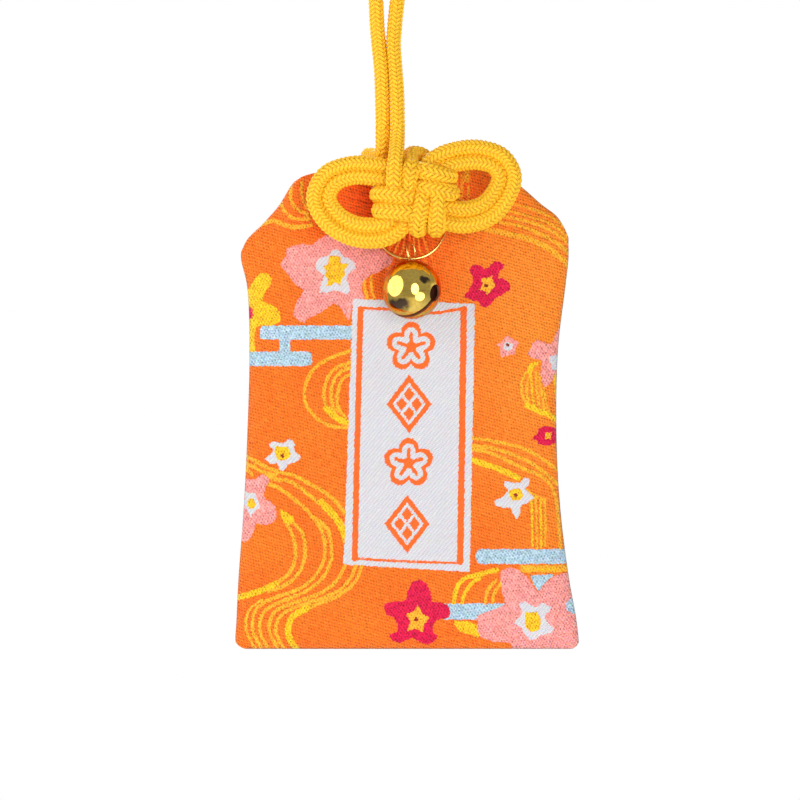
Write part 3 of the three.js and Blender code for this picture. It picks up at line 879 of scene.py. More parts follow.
def waves(x, z, seed, size):
    """Soft uneven waves between -1 and 1."""
    dice = np.random.default_rng(seed)
    total = np.zeros_like(x)
    for _ in range(9):
        turn = dice.uniform(0, math.tau)
        length = size * dice.uniform(0.7, 1.6)
        along = (x * math.cos(turn) + z * math.sin(turn)) / length
        total += np.sin(math.tau * along + dice.uniform(0, math.tau))
    return total / 4.5


def pleats(turn):
    """Folds drawn together by the cord: 1 in a fold's bottom, 0 on its crest."""
    fine = np.abs(np.cos(10.5 * turn + 0.8 * np.sin(3 * turn + 0.4))) ** 0.7
    broad = 0.5 - 0.5 * np.cos(9 * turn + 1.1 * np.sin(2 * turn))
    return 0.6 * (1 - fine) + 0.4 * broad


def rolled_edge(side, height):
    """Places across in millimetres, how far each is from its side and from any edge, and the roll there."""
    half = half_width(height, side)
    to_side = (1 - np.abs(side)) * half
    chamfer = np.where(np.abs(side) > CORNER_START, (top_height(side) - height) * CHAMFER_SLOPE, 9.0)
    to_edge = np.minimum(np.minimum(to_side, height), np.clip(chamfer, 0, None))
    roll = np.sqrt(1 - np.clip(1 - to_edge / EDGE_ROLL, 0, 1) ** 2)
    return side * half, to_side, to_edge, roll


def front_depth(side, height):
    """How far the front of the pouch stands out of its back plane."""
    x, to_side, to_edge, roll = rolled_edge(side, height)
    top = top_height(side)
    crown = np.clip(1 - np.abs(side) ** 5, 0, 1) ** 0.6
    bottom = 1 - np.clip(1 - height / 6, 0, 1) ** 2.5
    mouth = np.clip(1 - (height / top) ** 14, 0, 1)
    depth = FLAT_DEPTH - EDGE_DEPTH + PUFF * crown * bottom * mouth
    soft = 1 - np.exp(-((to_edge / 3) ** 2))
    away = np.hypot(x - NECK_X, height - NECK_HEIGHT)
    turn = np.arctan2(x - NECK_X, NECK_HEIGHT - height)
    gather = np.exp(-((away / 10) ** 2)) * pleats(turn)
    dent = np.exp(-((away / 4.5) ** 2))
    creases = 0.16 * waves(x, height, 5, 17) + 0.05 * waves(x, height, 11, 6)
    pucker = 0.05 * np.sin(height * 2.6 + 1.5 * np.sin(height * 0.7))
    pucker = pucker * np.exp(-((to_side - 1.6) ** 2) / 1.2)
    relief = creases * soft - 0.75 * gather * mouth - 0.9 * dent + pucker
    return EDGE_DEPTH + depth * roll + relief * soft


def back_depth(side, height):
    """The back lies flat, apart from its rolled edge."""
    x, _, _, roll = rolled_edge(side, height)
    away = np.hypot(x - NECK_X, height - NECK_HEIGHT)
    dent = 0.5 * np.exp(-((away / 4) ** 2))
    return EDGE_DEPTH * (1 - roll) + (0.06 * (waves(x, height, 23, 14) + 1) + dent) * roll


# Woven pattern, drafted in threads: columns to the right and rows down
MIDDLE_COLUMN = 407
BOTTOM_ROW = 650
FAR = 3.0


def draft(points):
    given = np.asarray(points, dtype=float).reshape(-1, 2)
    return np.stack([(given[:, 0] - MIDDLE_COLUMN) * THREAD, (BOTTOM_ROW - given[:, 1]) * THREAD], axis=1)


MOTIFS = [
    # thread colour, then columns and rows round the outline
    ("pink", (
        280.5, 263.5, 286.5, 254.5, 285.5, 249, 293, 246, 302, 243.5, 311.5, 245, 319.5, 238.5, 328, 234,
        337, 231, 352, 229, 367.5, 235, 375.5, 245.5, 383, 250.5, 393, 258.5, 391, 264, 381, 271,
        372.5, 274, 366.5, 278, 362.5, 283, 361.5, 290.5, 365.5, 300.5, 352, 302.5, 349.5, 321.5,
        338, 304.5, 333, 303.5, 321.5, 311.5, 311.5, 317, 306, 319.5, 305, 323.5, 293, 317, 294, 309.5,
        297, 300.5, 301, 294.5, 304, 290.5, 301, 288.5, 295, 284, 290, 278, 286, 271.5, 280.5, 266,
    )),
    ("white", (
        334.5, 249, 331, 251, 328.5, 255.5, 319.5, 258, 315, 264, 316, 269, 321.5, 273, 323.5, 278,
        320.5, 284, 319.5, 292.5, 326.5, 292.5, 334, 290.5, 340, 291.5, 347, 294.5, 349.5, 290.5,
        349, 285, 346, 280, 348, 274, 354.5, 269, 355.5, 264, 350, 258.5, 344, 256.5, 341, 252.5,
        337, 249.5,
    )),
    ("yellow", (
        329, 255.5, 328, 264, 322.5, 266, 326.5, 271, 324.5, 275, 328, 280, 326.5, 286, 332.5, 285,
        335, 282, 340, 286, 340.5, 280, 345, 275, 344, 270, 349, 264, 341, 263, 340.5, 256.5, 335, 255.5,
    )),
    ("yellow", (
        260.5, 272.5, 267.5, 273.5, 271.5, 278, 270.5, 284, 265.5, 290.5, 263.5, 296.5, 261, 301,
        265.5, 303, 273.5, 305.5, 279.5, 311.5, 280.5, 317, 279, 323, 270.5, 325.5, 261.5, 325.5,
        255.5, 327, 254, 337, 254.5, 351.5, 240, 351.5, 240, 296.5, 246, 290.5, 251, 284, 256.5, 276,
    )),
    ("magenta", (249, 305.5, 255.5, 309.5, 251.5, 311.5, 255, 315, 249.5, 319.5, 244, 317, 244, 306.5)),
    ("magenta", (
        469.5, 270.5, 471, 266, 475.5, 264.5, 481, 266, 483.5, 269, 488, 268.5, 491, 264.5, 494, 261.5,
        499.5, 261.5, 504.5, 265.5, 503, 268, 500, 270.5, 498.5, 274, 498, 278, 504, 278.5, 508, 281.5,
        510.5, 285.5, 509.5, 290, 505.5, 292, 500, 296, 495, 298, 493.5, 301.5, 490.5, 304.5, 486.5, 307,
        483, 307.5, 480, 304.5, 478, 301.5, 473, 300.5, 468.5, 298.5, 464, 297, 465, 293.5, 468.5, 291,
        469.5, 287.5, 472, 284.5, 473, 279.5, 472.5, 276, 470, 273.5,
    )),
    ("gold", (
        491.5, 275, 492, 279.5, 495, 284.5, 494, 287.5, 492, 289, 486.5, 295, 485.5, 291, 481, 290,
        478, 289, 481, 287.5, 482.5, 283.5, 481, 278.5, 483, 277.5, 487.5, 278,
    )),
    ("pink", (
        507.5, 335.5, 504, 338, 502, 341.5, 496.5, 344.5, 500, 347.5, 500, 352.5, 501, 358, 505, 356,
        508.5, 355, 514.5, 354, 515, 349.5, 517.5, 345.5, 519, 342, 516, 340.5, 512.5, 338.5,
    )),
    ("white", (
        506.5, 342, 503, 344, 504, 346.5, 503, 349.5, 506.5, 350.5, 511.5, 349.5, 511.5, 346.5,
        513.5, 344.5, 510, 342.5,
    )),
    ("pink", (
        531.5, 344.5, 536.5, 339.5, 544, 342, 550.5, 344.5, 554, 339, 556.5, 332.5, 559, 328.5,
        565, 324.5, 570, 326.5, 570, 373.5, 556.5, 372.5, 553.5, 379, 549.5, 384, 545, 387.5, 541.5, 381,
        540, 373.5, 541.5, 365, 542.5, 360, 536.5, 359, 530.5, 357, 527, 353, 531.5, 348.5,
    )),
    ("white", (
        549.5, 356, 553.5, 355.5, 559, 353.5, 568, 350.5, 568, 372.5, 557.5, 368.5, 554.5, 370.5,
        552, 369.5, 551.5, 366, 549.5, 360,
    )),
    ("yellow", (
        534.5, 361.5, 541, 361.5, 536.5, 365, 532.5, 369.5, 530.5, 377.5, 528.5, 374.5, 527, 368.5,
        529.5, 364,
    )),
    ("white", (
        268.5, 444, 273, 441.5, 279, 442.5, 284, 443.5, 287.5, 438.5, 292, 440, 293.5, 442.5, 296, 444,
        293, 448.5, 295.5, 452, 299, 455, 301, 458.5, 296.5, 462, 293, 463, 286.5, 464.5, 286, 467.5,
        283, 471.5, 280, 471, 278.5, 466.5, 276.5, 463.5, 270.5, 463.5, 263.5, 459, 267.5, 456.5,
        272, 453.5, 273.5, 450, 270, 447,
    )),
    ("yellow", (
        275, 446.5, 287.5, 446.5, 289, 450, 291, 455, 287.5, 459, 283, 460.5, 277.5, 460, 275, 454.5,
        274.5, 450.5,
    )),
    ("pink", (
        258.5, 476, 262, 474.5, 266, 475, 269.5, 479, 268.5, 483.5, 265, 488, 263.5, 494.5, 265, 499,
        270.5, 502, 275, 506.5, 276.5, 514, 274.5, 520.5, 269, 524.5, 261.5, 525, 255.5, 523.5,
        254.5, 529.5, 251.5, 536.5, 247.5, 541, 243, 543, 237, 537, 237, 479, 244.5, 479, 250, 479.5,
        255.5, 479,
    )),
    ("white", (
        244.5, 491, 248.5, 493.5, 255.5, 492.5, 255.5, 496.5, 259, 503.5, 259.5, 508, 254.5, 511,
        250, 518, 247.5, 512.5, 244.5, 508, 241.5, 503.5, 244.5, 497.5,
    )),
    ("yellow", (248.5, 499, 252.5, 499, 256, 505, 254, 507.5, 250, 509, 246.5, 505)),
    ("yellow", (279, 509, 286, 512, 293, 517, 294.5, 522, 289, 525.5, 283.5, 522.5, 281, 516.5)),
    ("magenta", (
        420, 579.5, 412, 581.5, 407, 591.5, 406, 600.5, 395.5, 601.5, 383.5, 603.5, 385.5, 614,
        394, 617.5, 398, 625, 397.5, 631.5, 389.5, 635, 391, 640.5, 399.5, 644, 406.5, 640, 413.5, 638.5,
        419, 642.5, 426, 645, 434.5, 642, 438, 636.5, 433, 632, 432.5, 625, 437.5, 620, 448.5, 617.5,
        450.5, 611, 447, 605, 440, 602.5, 431.5, 602, 431, 593, 426, 583,
    )),
    ("gold", (
        417, 603.5, 415, 611, 405, 614.5, 410.5, 621, 407, 631.5, 415, 628, 423.5, 633, 424, 624,
        429.5, 617.5, 422, 614,
    )),
    ("yellow", (
        453, 621, 468, 621.5, 476.5, 625, 480, 633.5, 478, 639, 471, 635.5, 460, 631.5, 454, 625,
    )),
    ("pink", (
        501, 570.5, 510.5, 567, 520, 570.5, 528.5, 579, 533.5, 586.5, 538.5, 592, 544, 584.5, 554, 576,
        566.5, 573, 576.5, 574.5, 576.5, 591.5, 572, 598.5, 565.5, 604, 567, 611, 573.5, 614.5,
        584.5, 615.5, 584.5, 656, 510.5, 656, 512.5, 648.5, 510.5, 643.5, 492, 642, 481, 638, 476, 631,
        478, 622.5, 476.5, 616.5, 485, 612.5, 496.5, 608.5, 505.5, 604, 502.5, 594.5, 500.5, 583,
    )),
    ("white", (
        518.5, 604, 524.5, 601.5, 531.5, 605.5, 537, 607, 542.5, 602.5, 551, 607, 549, 612.5, 544, 615.5,
        547, 622.5, 554.5, 628, 552.5, 633, 542.5, 635, 537, 639, 530, 640.5, 524.5, 633.5, 521.5, 628,
        513, 622.5, 518.5, 618, 523, 612.5,
    )),
    ("yellow", (525.5, 612.5, 537, 612, 541, 619.5, 540, 629.5, 531.5, 633, 525.5, 626.5, 525, 618)),
    ("blue", (530, 575.5, 554.5, 574.5, 544, 584.5, 538.5, 592, 533, 583)),
    ("white", (
        503.5, 485.5, 505, 480.5, 514.5, 483, 520.5, 482.5, 524, 478, 529.5, 478, 529.5, 483.5,
        525.5, 489, 532.5, 494.5, 534, 499, 526.5, 503.5, 520.5, 505.5, 520.5, 511, 517, 520,
        513.5, 514.5, 510, 507.5, 502.5, 507.5, 495, 505.5, 494, 501, 501, 497.5, 507, 492.5, 508, 489,
    )),
    ("yellow", (509, 490, 519.5, 488, 523.5, 495, 520, 500.5, 512, 500.5, 509, 495.5)),
    ("magenta", (
        542.5, 427, 547, 426, 553.5, 427, 557.5, 429.5, 566.5, 434.5, 559.5, 443, 553.5, 444, 545, 446,
        538.5, 444, 536.5, 439.5, 531.5, 439, 537.5, 433.5, 538, 428.5,
    )),
    ("gold", (
        545, 431.5, 548.5, 433.5, 552.5, 432, 551, 436, 552, 439.5, 547.5, 438, 545, 440.5, 545.5, 436,
    )),
]
DOTS = [
    # column, row, reach
    (282.2, 455.6, 2.2),
    (486.1, 285.4, 2),
    (507.4, 345, 1.5),
    (416, 619.5, 2.4),
    (515.7, 495.1, 2.2),
]
STAMEN_COLUMNS = (330.0, 334.5, 339.0)
BARS = [
    # colour, left, top, right, bottom, roundness of the ends
    ("blue", 259.5, 325.5, 380, 339.5, 4),
    ("blue", 279, 336, 290, 354, 1),
    ("blue", 230, 351.5, 312, 366, 5),
    ("blue", 475.5, 549, 600, 564, 6.5),
    ("blue", 440, 603.5, 508, 619.5, 2),
    ("blue", 560, 592, 600, 616, 2),
    ("gold", 520, 565.5, 568, 572.5, 1),
    ("yellow", 531, 568, 557, 571, 1),
    ("gold", 548.5, 646.5, 590, 655, 1),
]
STREAMS = [
    # thread colour, width, then columns and rows
    ("gold", 3.4, (301, 182, 301, 190, 303, 200, 308, 209)),
    ("gold", 3.6, (291, 186, 290, 198, 296, 208, 307, 214)),
    ("gold", 3.6, (280, 202, 285, 212, 294, 218, 309, 219)),
    ("gold", 4.5, (260, 224, 274, 220, 284, 225, 296, 227, 311, 225)),
    ("gold", 5.5, (470, 226, 491, 230, 509, 234, 527, 238, 545, 246, 558, 255, 573, 268)),
    ("gold", 3.5, (494, 221, 521, 226, 539, 233, 557.5, 243, 573, 257)),
    ("gold", 3.4, (500, 215, 527, 221, 545, 227, 563.6, 238, 573, 247)),
    ("gold", 2.6, (507, 210, 533, 217, 552, 224, 567, 235)),
    ("gold", 2.6, (514, 204, 537, 210, 554, 218, 567, 228)),
    ("gold", 6.5, (467.5, 172, 467, 179)),
    ("gold", 2.6, (461.5, 173, 462, 201)),
    ("gold", 2.2, (456.5, 180, 458, 201)),
    ("gold", 2.2, (468.5, 186, 468, 199)),
    ("gold", 3.4, (366, 270, 364, 284, 368, 300)),
    ("gold", 2.8, (371.5, 268, 371, 284, 374, 300)),
    ("gold", 3.5, (
        354, 350, 346, 352, 321, 363, 310, 374, 305, 388, 304.5, 399, 307.5, 407.5, 315, 417, 327, 424.5,
        337, 427, 350, 427,
    )),
    ("gold", 3.4, (354, 361, 346, 364, 334, 369, 327, 378.5, 324, 391, 324, 400, 327, 409)),
    ("gold", 3.4, (354, 366, 346, 369, 338, 374, 333, 382, 331, 393, 332, 403, 336, 414)),
    ("gold", 3.4, (354, 373, 346, 376, 341, 381, 338, 391, 337, 400, 339, 409, 346, 418)),
    ("yellow", 6.5, (326, 408, 334, 416, 343, 421, 350, 424)),
    ("gold", 3.6, (
        240, 452, 247, 457, 255, 461, 265, 467, 274.5, 470, 283, 473, 293.5, 475, 303.5, 480.5,
        313.5, 486, 322.6, 491, 330.3, 496.6, 338, 504, 343.3, 511, 350, 520,
    )),
    ("gold", 3.6, (240, 460, 246, 463.7, 254, 467.5, 262, 472, 275, 475)),
    ("gold", 3.6, (240, 466, 246, 469.8, 252, 475)),
    ("gold", 3.6, (266, 476, 276.7, 479.7, 286, 480.5, 295, 484.3, 302.7, 489.7, 311, 496.6, 322, 505)),
    ("yellow", 7, (321, 502, 331.8, 513.4, 338, 521, 342.5, 530, 346, 540)),
    ("gold", 3.6, (
        266, 483, 278.3, 488, 286, 492.7, 293.6, 498.9, 301.2, 505, 308.9, 512.6, 315, 520.3,
        319.6, 527.2, 323.5, 537, 325, 550, 322.5, 563, 316, 574.5, 307, 584, 297, 590, 282, 595,
        271, 599, 260, 605, 254, 613, 252, 623, 253, 634, 259, 645, 263, 654,
    )),
    ("gold", 3.5, (
        311, 515.5, 325.7, 526.4, 329.8, 535.6, 331.6, 550, 330, 563, 324, 576, 314, 586, 300, 594,
        285, 600, 272, 606, 263.5, 612, 259.5, 621, 259.5, 632, 264, 643, 271, 654,
    )),
    ("gold", 2.8, (262, 600, 250, 609, 245.5, 620, 246.5, 633, 252, 645, 257, 654)),
    ("gold", 3.6, (
        286.7, 524.9, 291, 532, 294.3, 541, 295.4, 552, 293.5, 565, 287.5, 574.5, 278, 582, 262, 589,
    )),
    ("gold", 3.6, (
        293.6, 524, 300, 529.5, 303.5, 537, 305, 550, 302.7, 565, 295.4, 577, 283, 586, 268, 592,
    )),
    ("yellow", 6, (276, 583.5, 259, 591.5, 248, 595, 230, 600)),
    ("gold", 3.5, (
        345.5, 564, 339.5, 576, 333, 584.5, 320, 593, 302.7, 599.5, 287, 605, 276, 611, 270, 619,
        269, 629, 272, 640, 280, 654,
    )),
    ("gold", 3.5, (
        355.5, 565, 351, 577, 342, 588, 330, 595, 314, 601, 297, 606.5, 284, 613, 277, 621, 275.5, 631,
        279, 642, 287, 654,
    )),
    ("gold", 3.4, (361.5, 565, 358, 577, 349, 588, 335, 597.5, 318, 604, 304, 610)),
    ("yellow", 6.5, (307, 608, 299, 612, 291, 619, 287.6, 629, 289.4, 639, 298, 653)),
    ("gold", 3.4, (466, 437, 489, 440.6, 508.4, 444.2, 527.8, 450.3, 542.4, 458.8, 562, 473)),
    ("gold", 3.4, (466, 445, 491.5, 447.9, 510.8, 454, 527.8, 461.2, 542.4, 470.9, 562, 488)),
    ("gold", 3.4, (
        466, 449, 489, 452.7, 506, 460, 523, 468.5, 537.5, 474.5, 551, 485.5, 556.5, 500, 559, 524,
        561, 548,
    )),
    ("yellow", 5.8, (466, 458, 486.6, 464.8, 501, 469.7, 518, 478)),
    ("gold", 3.4, (524, 489, 535, 496, 545, 500)),
    ("yellow", 2.3, (531, 496, 532, 515, 532.5, 546)),
    ("gold", 2.3, (535.6, 497, 536.4, 520, 537.2, 550)),
    ("yellow", 2.3, (540, 499, 541, 520, 541, 550)),
    ("gold", 2.3, (544.8, 499, 545.6, 520, 545, 546)),
    ("gold", 2.6, (526, 373, 521.5, 383, 522, 395, 528, 405)),
    ("gold", 2.4, (528.5, 378, 526.5, 390, 530, 406)),
    ("yellow", 2.4, (531, 376, 532, 392, 535, 408)),
    ("gold", 2.4, (535.6, 372, 537, 392, 540, 410)),
    ("gold", 2.4, (539.5, 374, 541.5, 392, 545, 412)),
    ("gold", 2.2, (544, 388, 546, 400, 550, 413)),
    ("yellow", 5.5, (527, 405, 537, 410, 549, 415, 562, 423)),
    ("yellow", 2.6, (555, 372, 556.5, 390, 557, 402)),
    ("yellow", 4.6, (453.5, 604, 456.3, 590, 462.6, 579.6, 473.8, 575.5, 497, 570)),
    ("yellow", 3.6, (461.5, 604, 464.7, 593, 471.5, 583.5, 480, 578)),
    ("gold", 3.4, (485, 604, 487.9, 590, 496, 580)),
    ("gold", 3.4, (492, 604, 494.5, 592, 502, 583)),
]
PANEL_CORNERS = ((352.6, 298.7), (474.8, 303.9), (469.7, 571.9), (343.3, 564.6))
PANEL_LINES = [
    # width, then columns and rows: left, right, top and bottom
    (5.8, (360.3, 309, 357.5, 430, 354.5, 559)),
    (6.4, (463.5, 309, 462, 430, 460, 562)),
    (2.9, (360, 308, 395, 309.5, 430, 313, 464, 308.5)),
    (2.4, (354.5, 558.5, 405, 561.5, 460, 563)),
]
ORNAMENTS = ((411, 347), (409, 404), (408.5, 463), (407, 524))
ORNAMENT_LINE = 2.3 * THREAD


def near_line(points, line, margin):
    """Which points are near a line, and how far each of those is from it in millimetres."""
    low, high = line.min(axis=0) - margin, line.max(axis=0) + margin
    near = np.flatnonzero(((points > low) & (points < high)).all(axis=1))
    some = points[near]
    best = np.full(len(near), 9.0)
    for a, b in zip(line[:-1], line[1:]):
        run = b - a
        share = np.clip(((some - a) @ run) / (run @ run), 0, 1)
        best = np.minimum(best, np.hypot(*(some - a - share[:, None] * run).T))
    return near, best


def outline_edge(points, threads):
    """Signed distance to a drafted outline, in millimetres, negative inside."""
    outline = draft(threads)
    closed = np.vstack([outline, outline[:1]])
    near, best = near_line(points, closed, 1.5)
    some = points[near]
    inside = np.zeros(len(near), dtype=bool)
    for a, b in zip(closed[:-1], closed[1:]):
        run = b - a
        crosses = (a[1] > some[:, 1]) != (b[1] > some[:, 1])
        rise = run[1] if abs(run[1]) > 1e-9 else 1e-9
        inside ^= crosses & (some[:, 0] < a[0] + (some[:, 1] - a[1]) / rise * run[0])
    edge = np.full(len(points), FAR)
    edge[near] = np.where(inside, -best, best)
    return edge


def flower_edge(points, column, row, reach, turn, waist, roundness):
    """Signed distance to a five-petal flower, in millimetres, negative inside."""
    middle = draft((column, row))[0]
    x, y = (points - middle).T
    angle = np.arctan2(y, x) - math.radians(turn)
    petal = np.abs(np.cos(2.5 * angle)) ** roundness
    outline = reach * THREAD * (waist + (1 - waist) * petal)
    return (np.hypot(x, y) - outline) * 0.85


def bar_edge(points, left, top, right, bottom, roundness):
    low, high = draft((left, bottom))[0], draft((right, top))[0]
    middle, half = (low + high) / 2, (high - low) / 2
    corner = roundness * THREAD
    away = np.abs(points - middle) - (half - corner)
    outside = np.hypot(np.maximum(away[:, 0], 0), np.maximum(away[:, 1], 0))
    return outside + np.minimum(np.maximum(away[:, 0], away[:, 1]), 0) - corner


def stroke_edge(points, width, threads):
    near, best = near_line(points, smooth_line(draft(threads), 0.6), 2.5)
    edge = np.full(len(points), FAR)
    edge[near] = best - width * THREAD / 2
    return edge


def quad_edge(points, corners):
    """Signed distance to a four-cornered panel given clockwise from its upper left."""
    outline = draft(corners)
    edge = np.full(len(points), -99.0)
    for k in range(4):
        a, b = outline[k], outline[(k + 1) % 4]
        run = (b - a) / np.linalg.norm(b - a)
        edge = np.maximum(edge, (points - a) @ np.array([-run[1], run[0]]))
    return edge


def lozenge_reach(points, column, row):
    x, y = np.abs(points - draft((column, row))[0]).T
    return (x + 0.78 * y) / 1.27


def ornament_edge(points, column, row, blossom):
    """A drawn blossom or a quartered lozenge, as its orange lines."""
    if blossom:
        petals = flower_edge(points, column, row, 25, 90, 0.62, 0.7)
        lines = np.abs(petals + 2.2 * THREAD) - ORNAMENT_LINE
        for k in range(5):
            turn = math.radians(90 + 72 * k)
            spoke = [(column + reach * math.cos(turn), row - reach * math.sin(turn)) for reach in (5, 13.5)]
            lines = np.minimum(lines, stroke_edge(points, 3.6, spoke))
        return np.minimum(lines, flower_edge(points, column, row, 5.5, 90, 0.9, 1))
    lines = np.abs(lozenge_reach(points, column, row) - 15.5 * THREAD) - ORNAMENT_LINE
    for across, down in ((0, 9.5), (0, -9.5), (7.5, 0), (-7.5, 0)):
        lines = np.minimum(lines, lozenge_reach(points, column + across, row + down) - 4.3 * THREAD)
    return lines


def pattern_edges(points, with_panel):
    """One signed distance for each thread colour, after every later motif has covered the earlier ones."""
    edges = {name: np.full(len(points), FAR) for name in THREAD_COLOURS}

    def lay(colour, edge):
        for name in edges:
            if name == colour:
                edges[name] = np.minimum(edges[name], edge)
            else:
                edges[name] = np.maximum(edges[name], -edge - 0.1)

    for colour, width, threads in STREAMS:
        lay(colour, stroke_edge(points, width, threads))
    for colour, *sizes in BARS:
        lay(colour, bar_edge(points, *sizes))
    for colour, threads in MOTIFS:
        lay(colour, outline_edge(points, threads))
    for column in STAMEN_COLUMNS:
        lay("gold", stroke_edge(points, 1.5, (column + 0.6, 261, column - 0.6, 279)))
    for column, row, reach in DOTS:
        lay("brown", flower_edge(points, column, row, reach, 0, 0.9, 1))
    if with_panel:
        lay("white", quad_edge(points, PANEL_CORNERS))
        for width, threads in PANEL_LINES:
            lay("orange", stroke_edge(points, width, threads))
        for number, (column, row) in enumerate(ORNAMENTS):
            lay("orange", ornament_edge(points, column, row, number % 2 == 0))
    return {name: np.clip(edge, -FAR, FAR) for name, edge in edges.items()}


def sheet_points(columns, rows, inner_rows, outer_depth, inner_depth):
    """Points of the cloth's outside, then of its inside, in rows from the bottom."""
    even = np.linspace(-1, 1, columns + 1)
    sides = 0.6 * even + 0.4 * np.sin(even * math.pi / 2)
    even_up = np.linspace(0, 1, rows + 1)
    rises = 0.8 * even_up + 0.2 * (0.5 - 0.5 * np.cos(math.pi * even_up))

    def grid_points(shares, depth_at, width, low, trim):
        side, rise = np.meshgrid(sides * width, shares)
        to_corner = np.clip((np.abs(side) - BOTTOM_CORNER_START * width) / BOTTOM_CORNER_WIDTH, 0, 1)
        bottom = low + BOTTOM_CORNER_RISE * to_corner**2.2
        height = bottom + rise * (top_height(side) - trim - bottom)
        spots = np.stack([side * half_width(height, side), -depth_at(side, height), height], axis=-1)
        return spots.reshape(-1, 3)

    outside = grid_points(rises, outer_depth, 1, 0, 0)
    inside = grid_points(rises[:: rows // inner_rows], inner_depth, INSIDE_WIDTH, INSIDE_LOW, INSIDE_TRIM)
    return np.vstack([outside, inside])


def sheet_faces(columns, rows, inner_rows, is_back):
    """Faces of the cloth's outside and inside, and of the turned edge between them."""
    wide = columns + 1
    below = (rows + 1) * wide
    each = rows // inner_rows
    faces = []

    def out(row, column):
        return row * wide + column

    def within(row, column):
        return below + row * wide + column

    def add(face, turned):
        faces.append(face[::-1] if turned != is_back else face)

    for corner, height, turned in ((out, rows, False), (within, inner_rows, True)):
        for row in range(height):
            for column in range(columns):
                low = (corner(row, column), corner(row, column + 1))
                add((*low, corner(row + 1, column + 1), corner(row + 1, column)), turned)
    for column in range(columns):
        bottom = (out(0, column), out(0, column + 1))
        add((*bottom, within(0, column + 1), within(0, column)), True)
        top = (out(rows, column), out(rows, column + 1))
        add((*top, within(inner_rows, column + 1), within(inner_rows, column)), False)
    for row in range(inner_rows):
        run = range(row * each, (row + 1) * each + 1)
        add((*(out(r, 0) for r in run), within(row + 1, 0), within(row, 0)), False)
        add((*(out(r, columns) for r in run), within(row + 1, columns), within(row, columns)), True)
    return faces


def mark_cloth(mesh, points, is_back):
    """Gives the cloth its woven pattern, where its folds get painted shade, and its flat places."""
    flat = points[:, [0, 2]] * (-1 if is_back else 1, 1)
    marks = pattern_edges(flat, not is_back)
    x, _, z = points.T
    # A mask of painted shade for the folds round the neck, weaker down to the right
    away = np.hypot(x - NECK_X, z - NECK_HEIGHT)
    turn = np.arctan2(x - NECK_X, NECK_HEIGHT - z)
    smoothed = 1 - 0.8 * np.exp(-(((turn - 1.0) / 0.5) ** 2))
    gathered = np.exp(-((away / 9.5) ** 2)) * smoothed
    marks["painted_fold_shade"] = np.clip(gathered * (0.75 + 0.7 * pleats(turn)), 0, 1)
    for label, values in marks.items():
        store(mesh, label, values)
    uv_layer = mesh.uv_layers.new(name="cloth")
    corners = np.empty(len(mesh.loops), dtype=np.int32)
    mesh.loops.foreach_get("vertex_index", corners)
    uv_layer.data.foreach_set("uv", flat[corners].astype(np.float32).ravel())


def pouch_sheet(name, columns, rows, inner_rows, outer_depth, inner_depth, is_back):
    """One face of the pouch as closed cloth."""
    points = sheet_points(columns, rows, inner_rows, outer_depth, inner_depth)
    faces = sheet_faces(columns, rows, inner_rows, is_back)
    mesh = bpy.data.meshes.new(name)
    mesh.from_pydata([tuple(point) for point in place(points)], [], faces)
    mesh.validate()
    mesh.update()
    mesh.shade_smooth()
    dress(mesh, brocade)
    mark_cloth(mesh, points, is_back)
    return new_object(name, mesh)


def inside_front(side, height):
    return np.clip(front_depth(side, height) - CLOTH, FRONT_INSIDE_LEAST, None)


def inside_back(side, height):
    return np.clip(back_depth(side, height) + CLOTH, None, BACK_INSIDE_MOST)


front_cloth = pouch_sheet("pouch_front_cloth", 196, 280, 14, front_depth, inside_front, False)
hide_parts("pouch_front")
back_cloth = pouch_sheet("pouch_back_cloth", 130, 180, 15, back_depth, inside_back, True)
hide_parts("pouch_back")
for cloth_piece in (front_cloth, back_cloth):
    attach(cloth_piece, "charm")

# Jump ring, shank and bell
RING_MIDDLE = (0.45, -3.8801, 63.35)
RING_RADIUS = 4.35
RING_SPLIT = 0.35
RING_SHOWN = 4.9
RING_DROP = 4.05
RING_WIRE = 0.2
SHANK_WIRE = 0.17
SHANK_HOLE = 0.8
SLIT_GAP = 0.7
SOUND_HOLE = 1.2
CUT_DEPTH = 3
SHELL_STEPS = 30
SHELL_SIDES = 96
SOFT_EDGE = 0.07
SLIT_EDGE_LEVEL = -0.4
SLIT_EDGE_FOLD = 0.7
INSIDE_REACH = 4.01


def frame_matrix(origin, turn_x, turn_z=0.0):
    """From a piece's own millimetres to metres in the frame."""
    spot = Vector(place(origin))
    turned = Matrix.Rotation(math.radians(turn_x), 4, "X") @ Matrix.Rotation(math.radians(turn_z), 4, "Z")
    return Matrix.Translation(spot) @ turned @ Matrix.Scale(MM, 4)


def wire_piece(name, points, radius, matrix):
    """Round wire through the points, with softened cut ends."""
    curve = bpy.data.curves.new(name, "CURVE")
    curve.dimensions = "3D"
    curve.bevel_depth = radius
    curve.bevel_resolution = 5
    curve.use_fill_caps = True
    spline = curve.splines.new("POLY")
    spline.points.add(len(points) - 1)
    for number, (spot, point) in enumerate(zip(points, spline.points)):
        point.co = (*spot, 1)
        from_end = min(number, len(points) - 1 - number)
        point.radius = (0.7, 0.9)[from_end] if from_end < 2 else 1.0
    made = applied(new_object(name, curve))
    made.data.transform(matrix)
    dress(made.data, ring_finish)
    made.data.shade_smooth()
    return made


ring_matrix = frame_matrix(RING_MIDDLE, -RING_LEAN)
half_split = RING_SPLIT / 2 / RING_RADIUS
ring_turns = np.linspace(math.pi / 2 + half_split, math.pi * 2.5 - half_split, 120)
ring_points = [(RING_SHOWN * math.sin(t), 0, RING_SHOWN * math.cos(t) - RING_DROP) for t in ring_turns]
ring = wire_piece("jump_ring_wire", ring_points, RING_WIRE, ring_matrix)
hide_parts("jump_ring")
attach(ring, "ring")

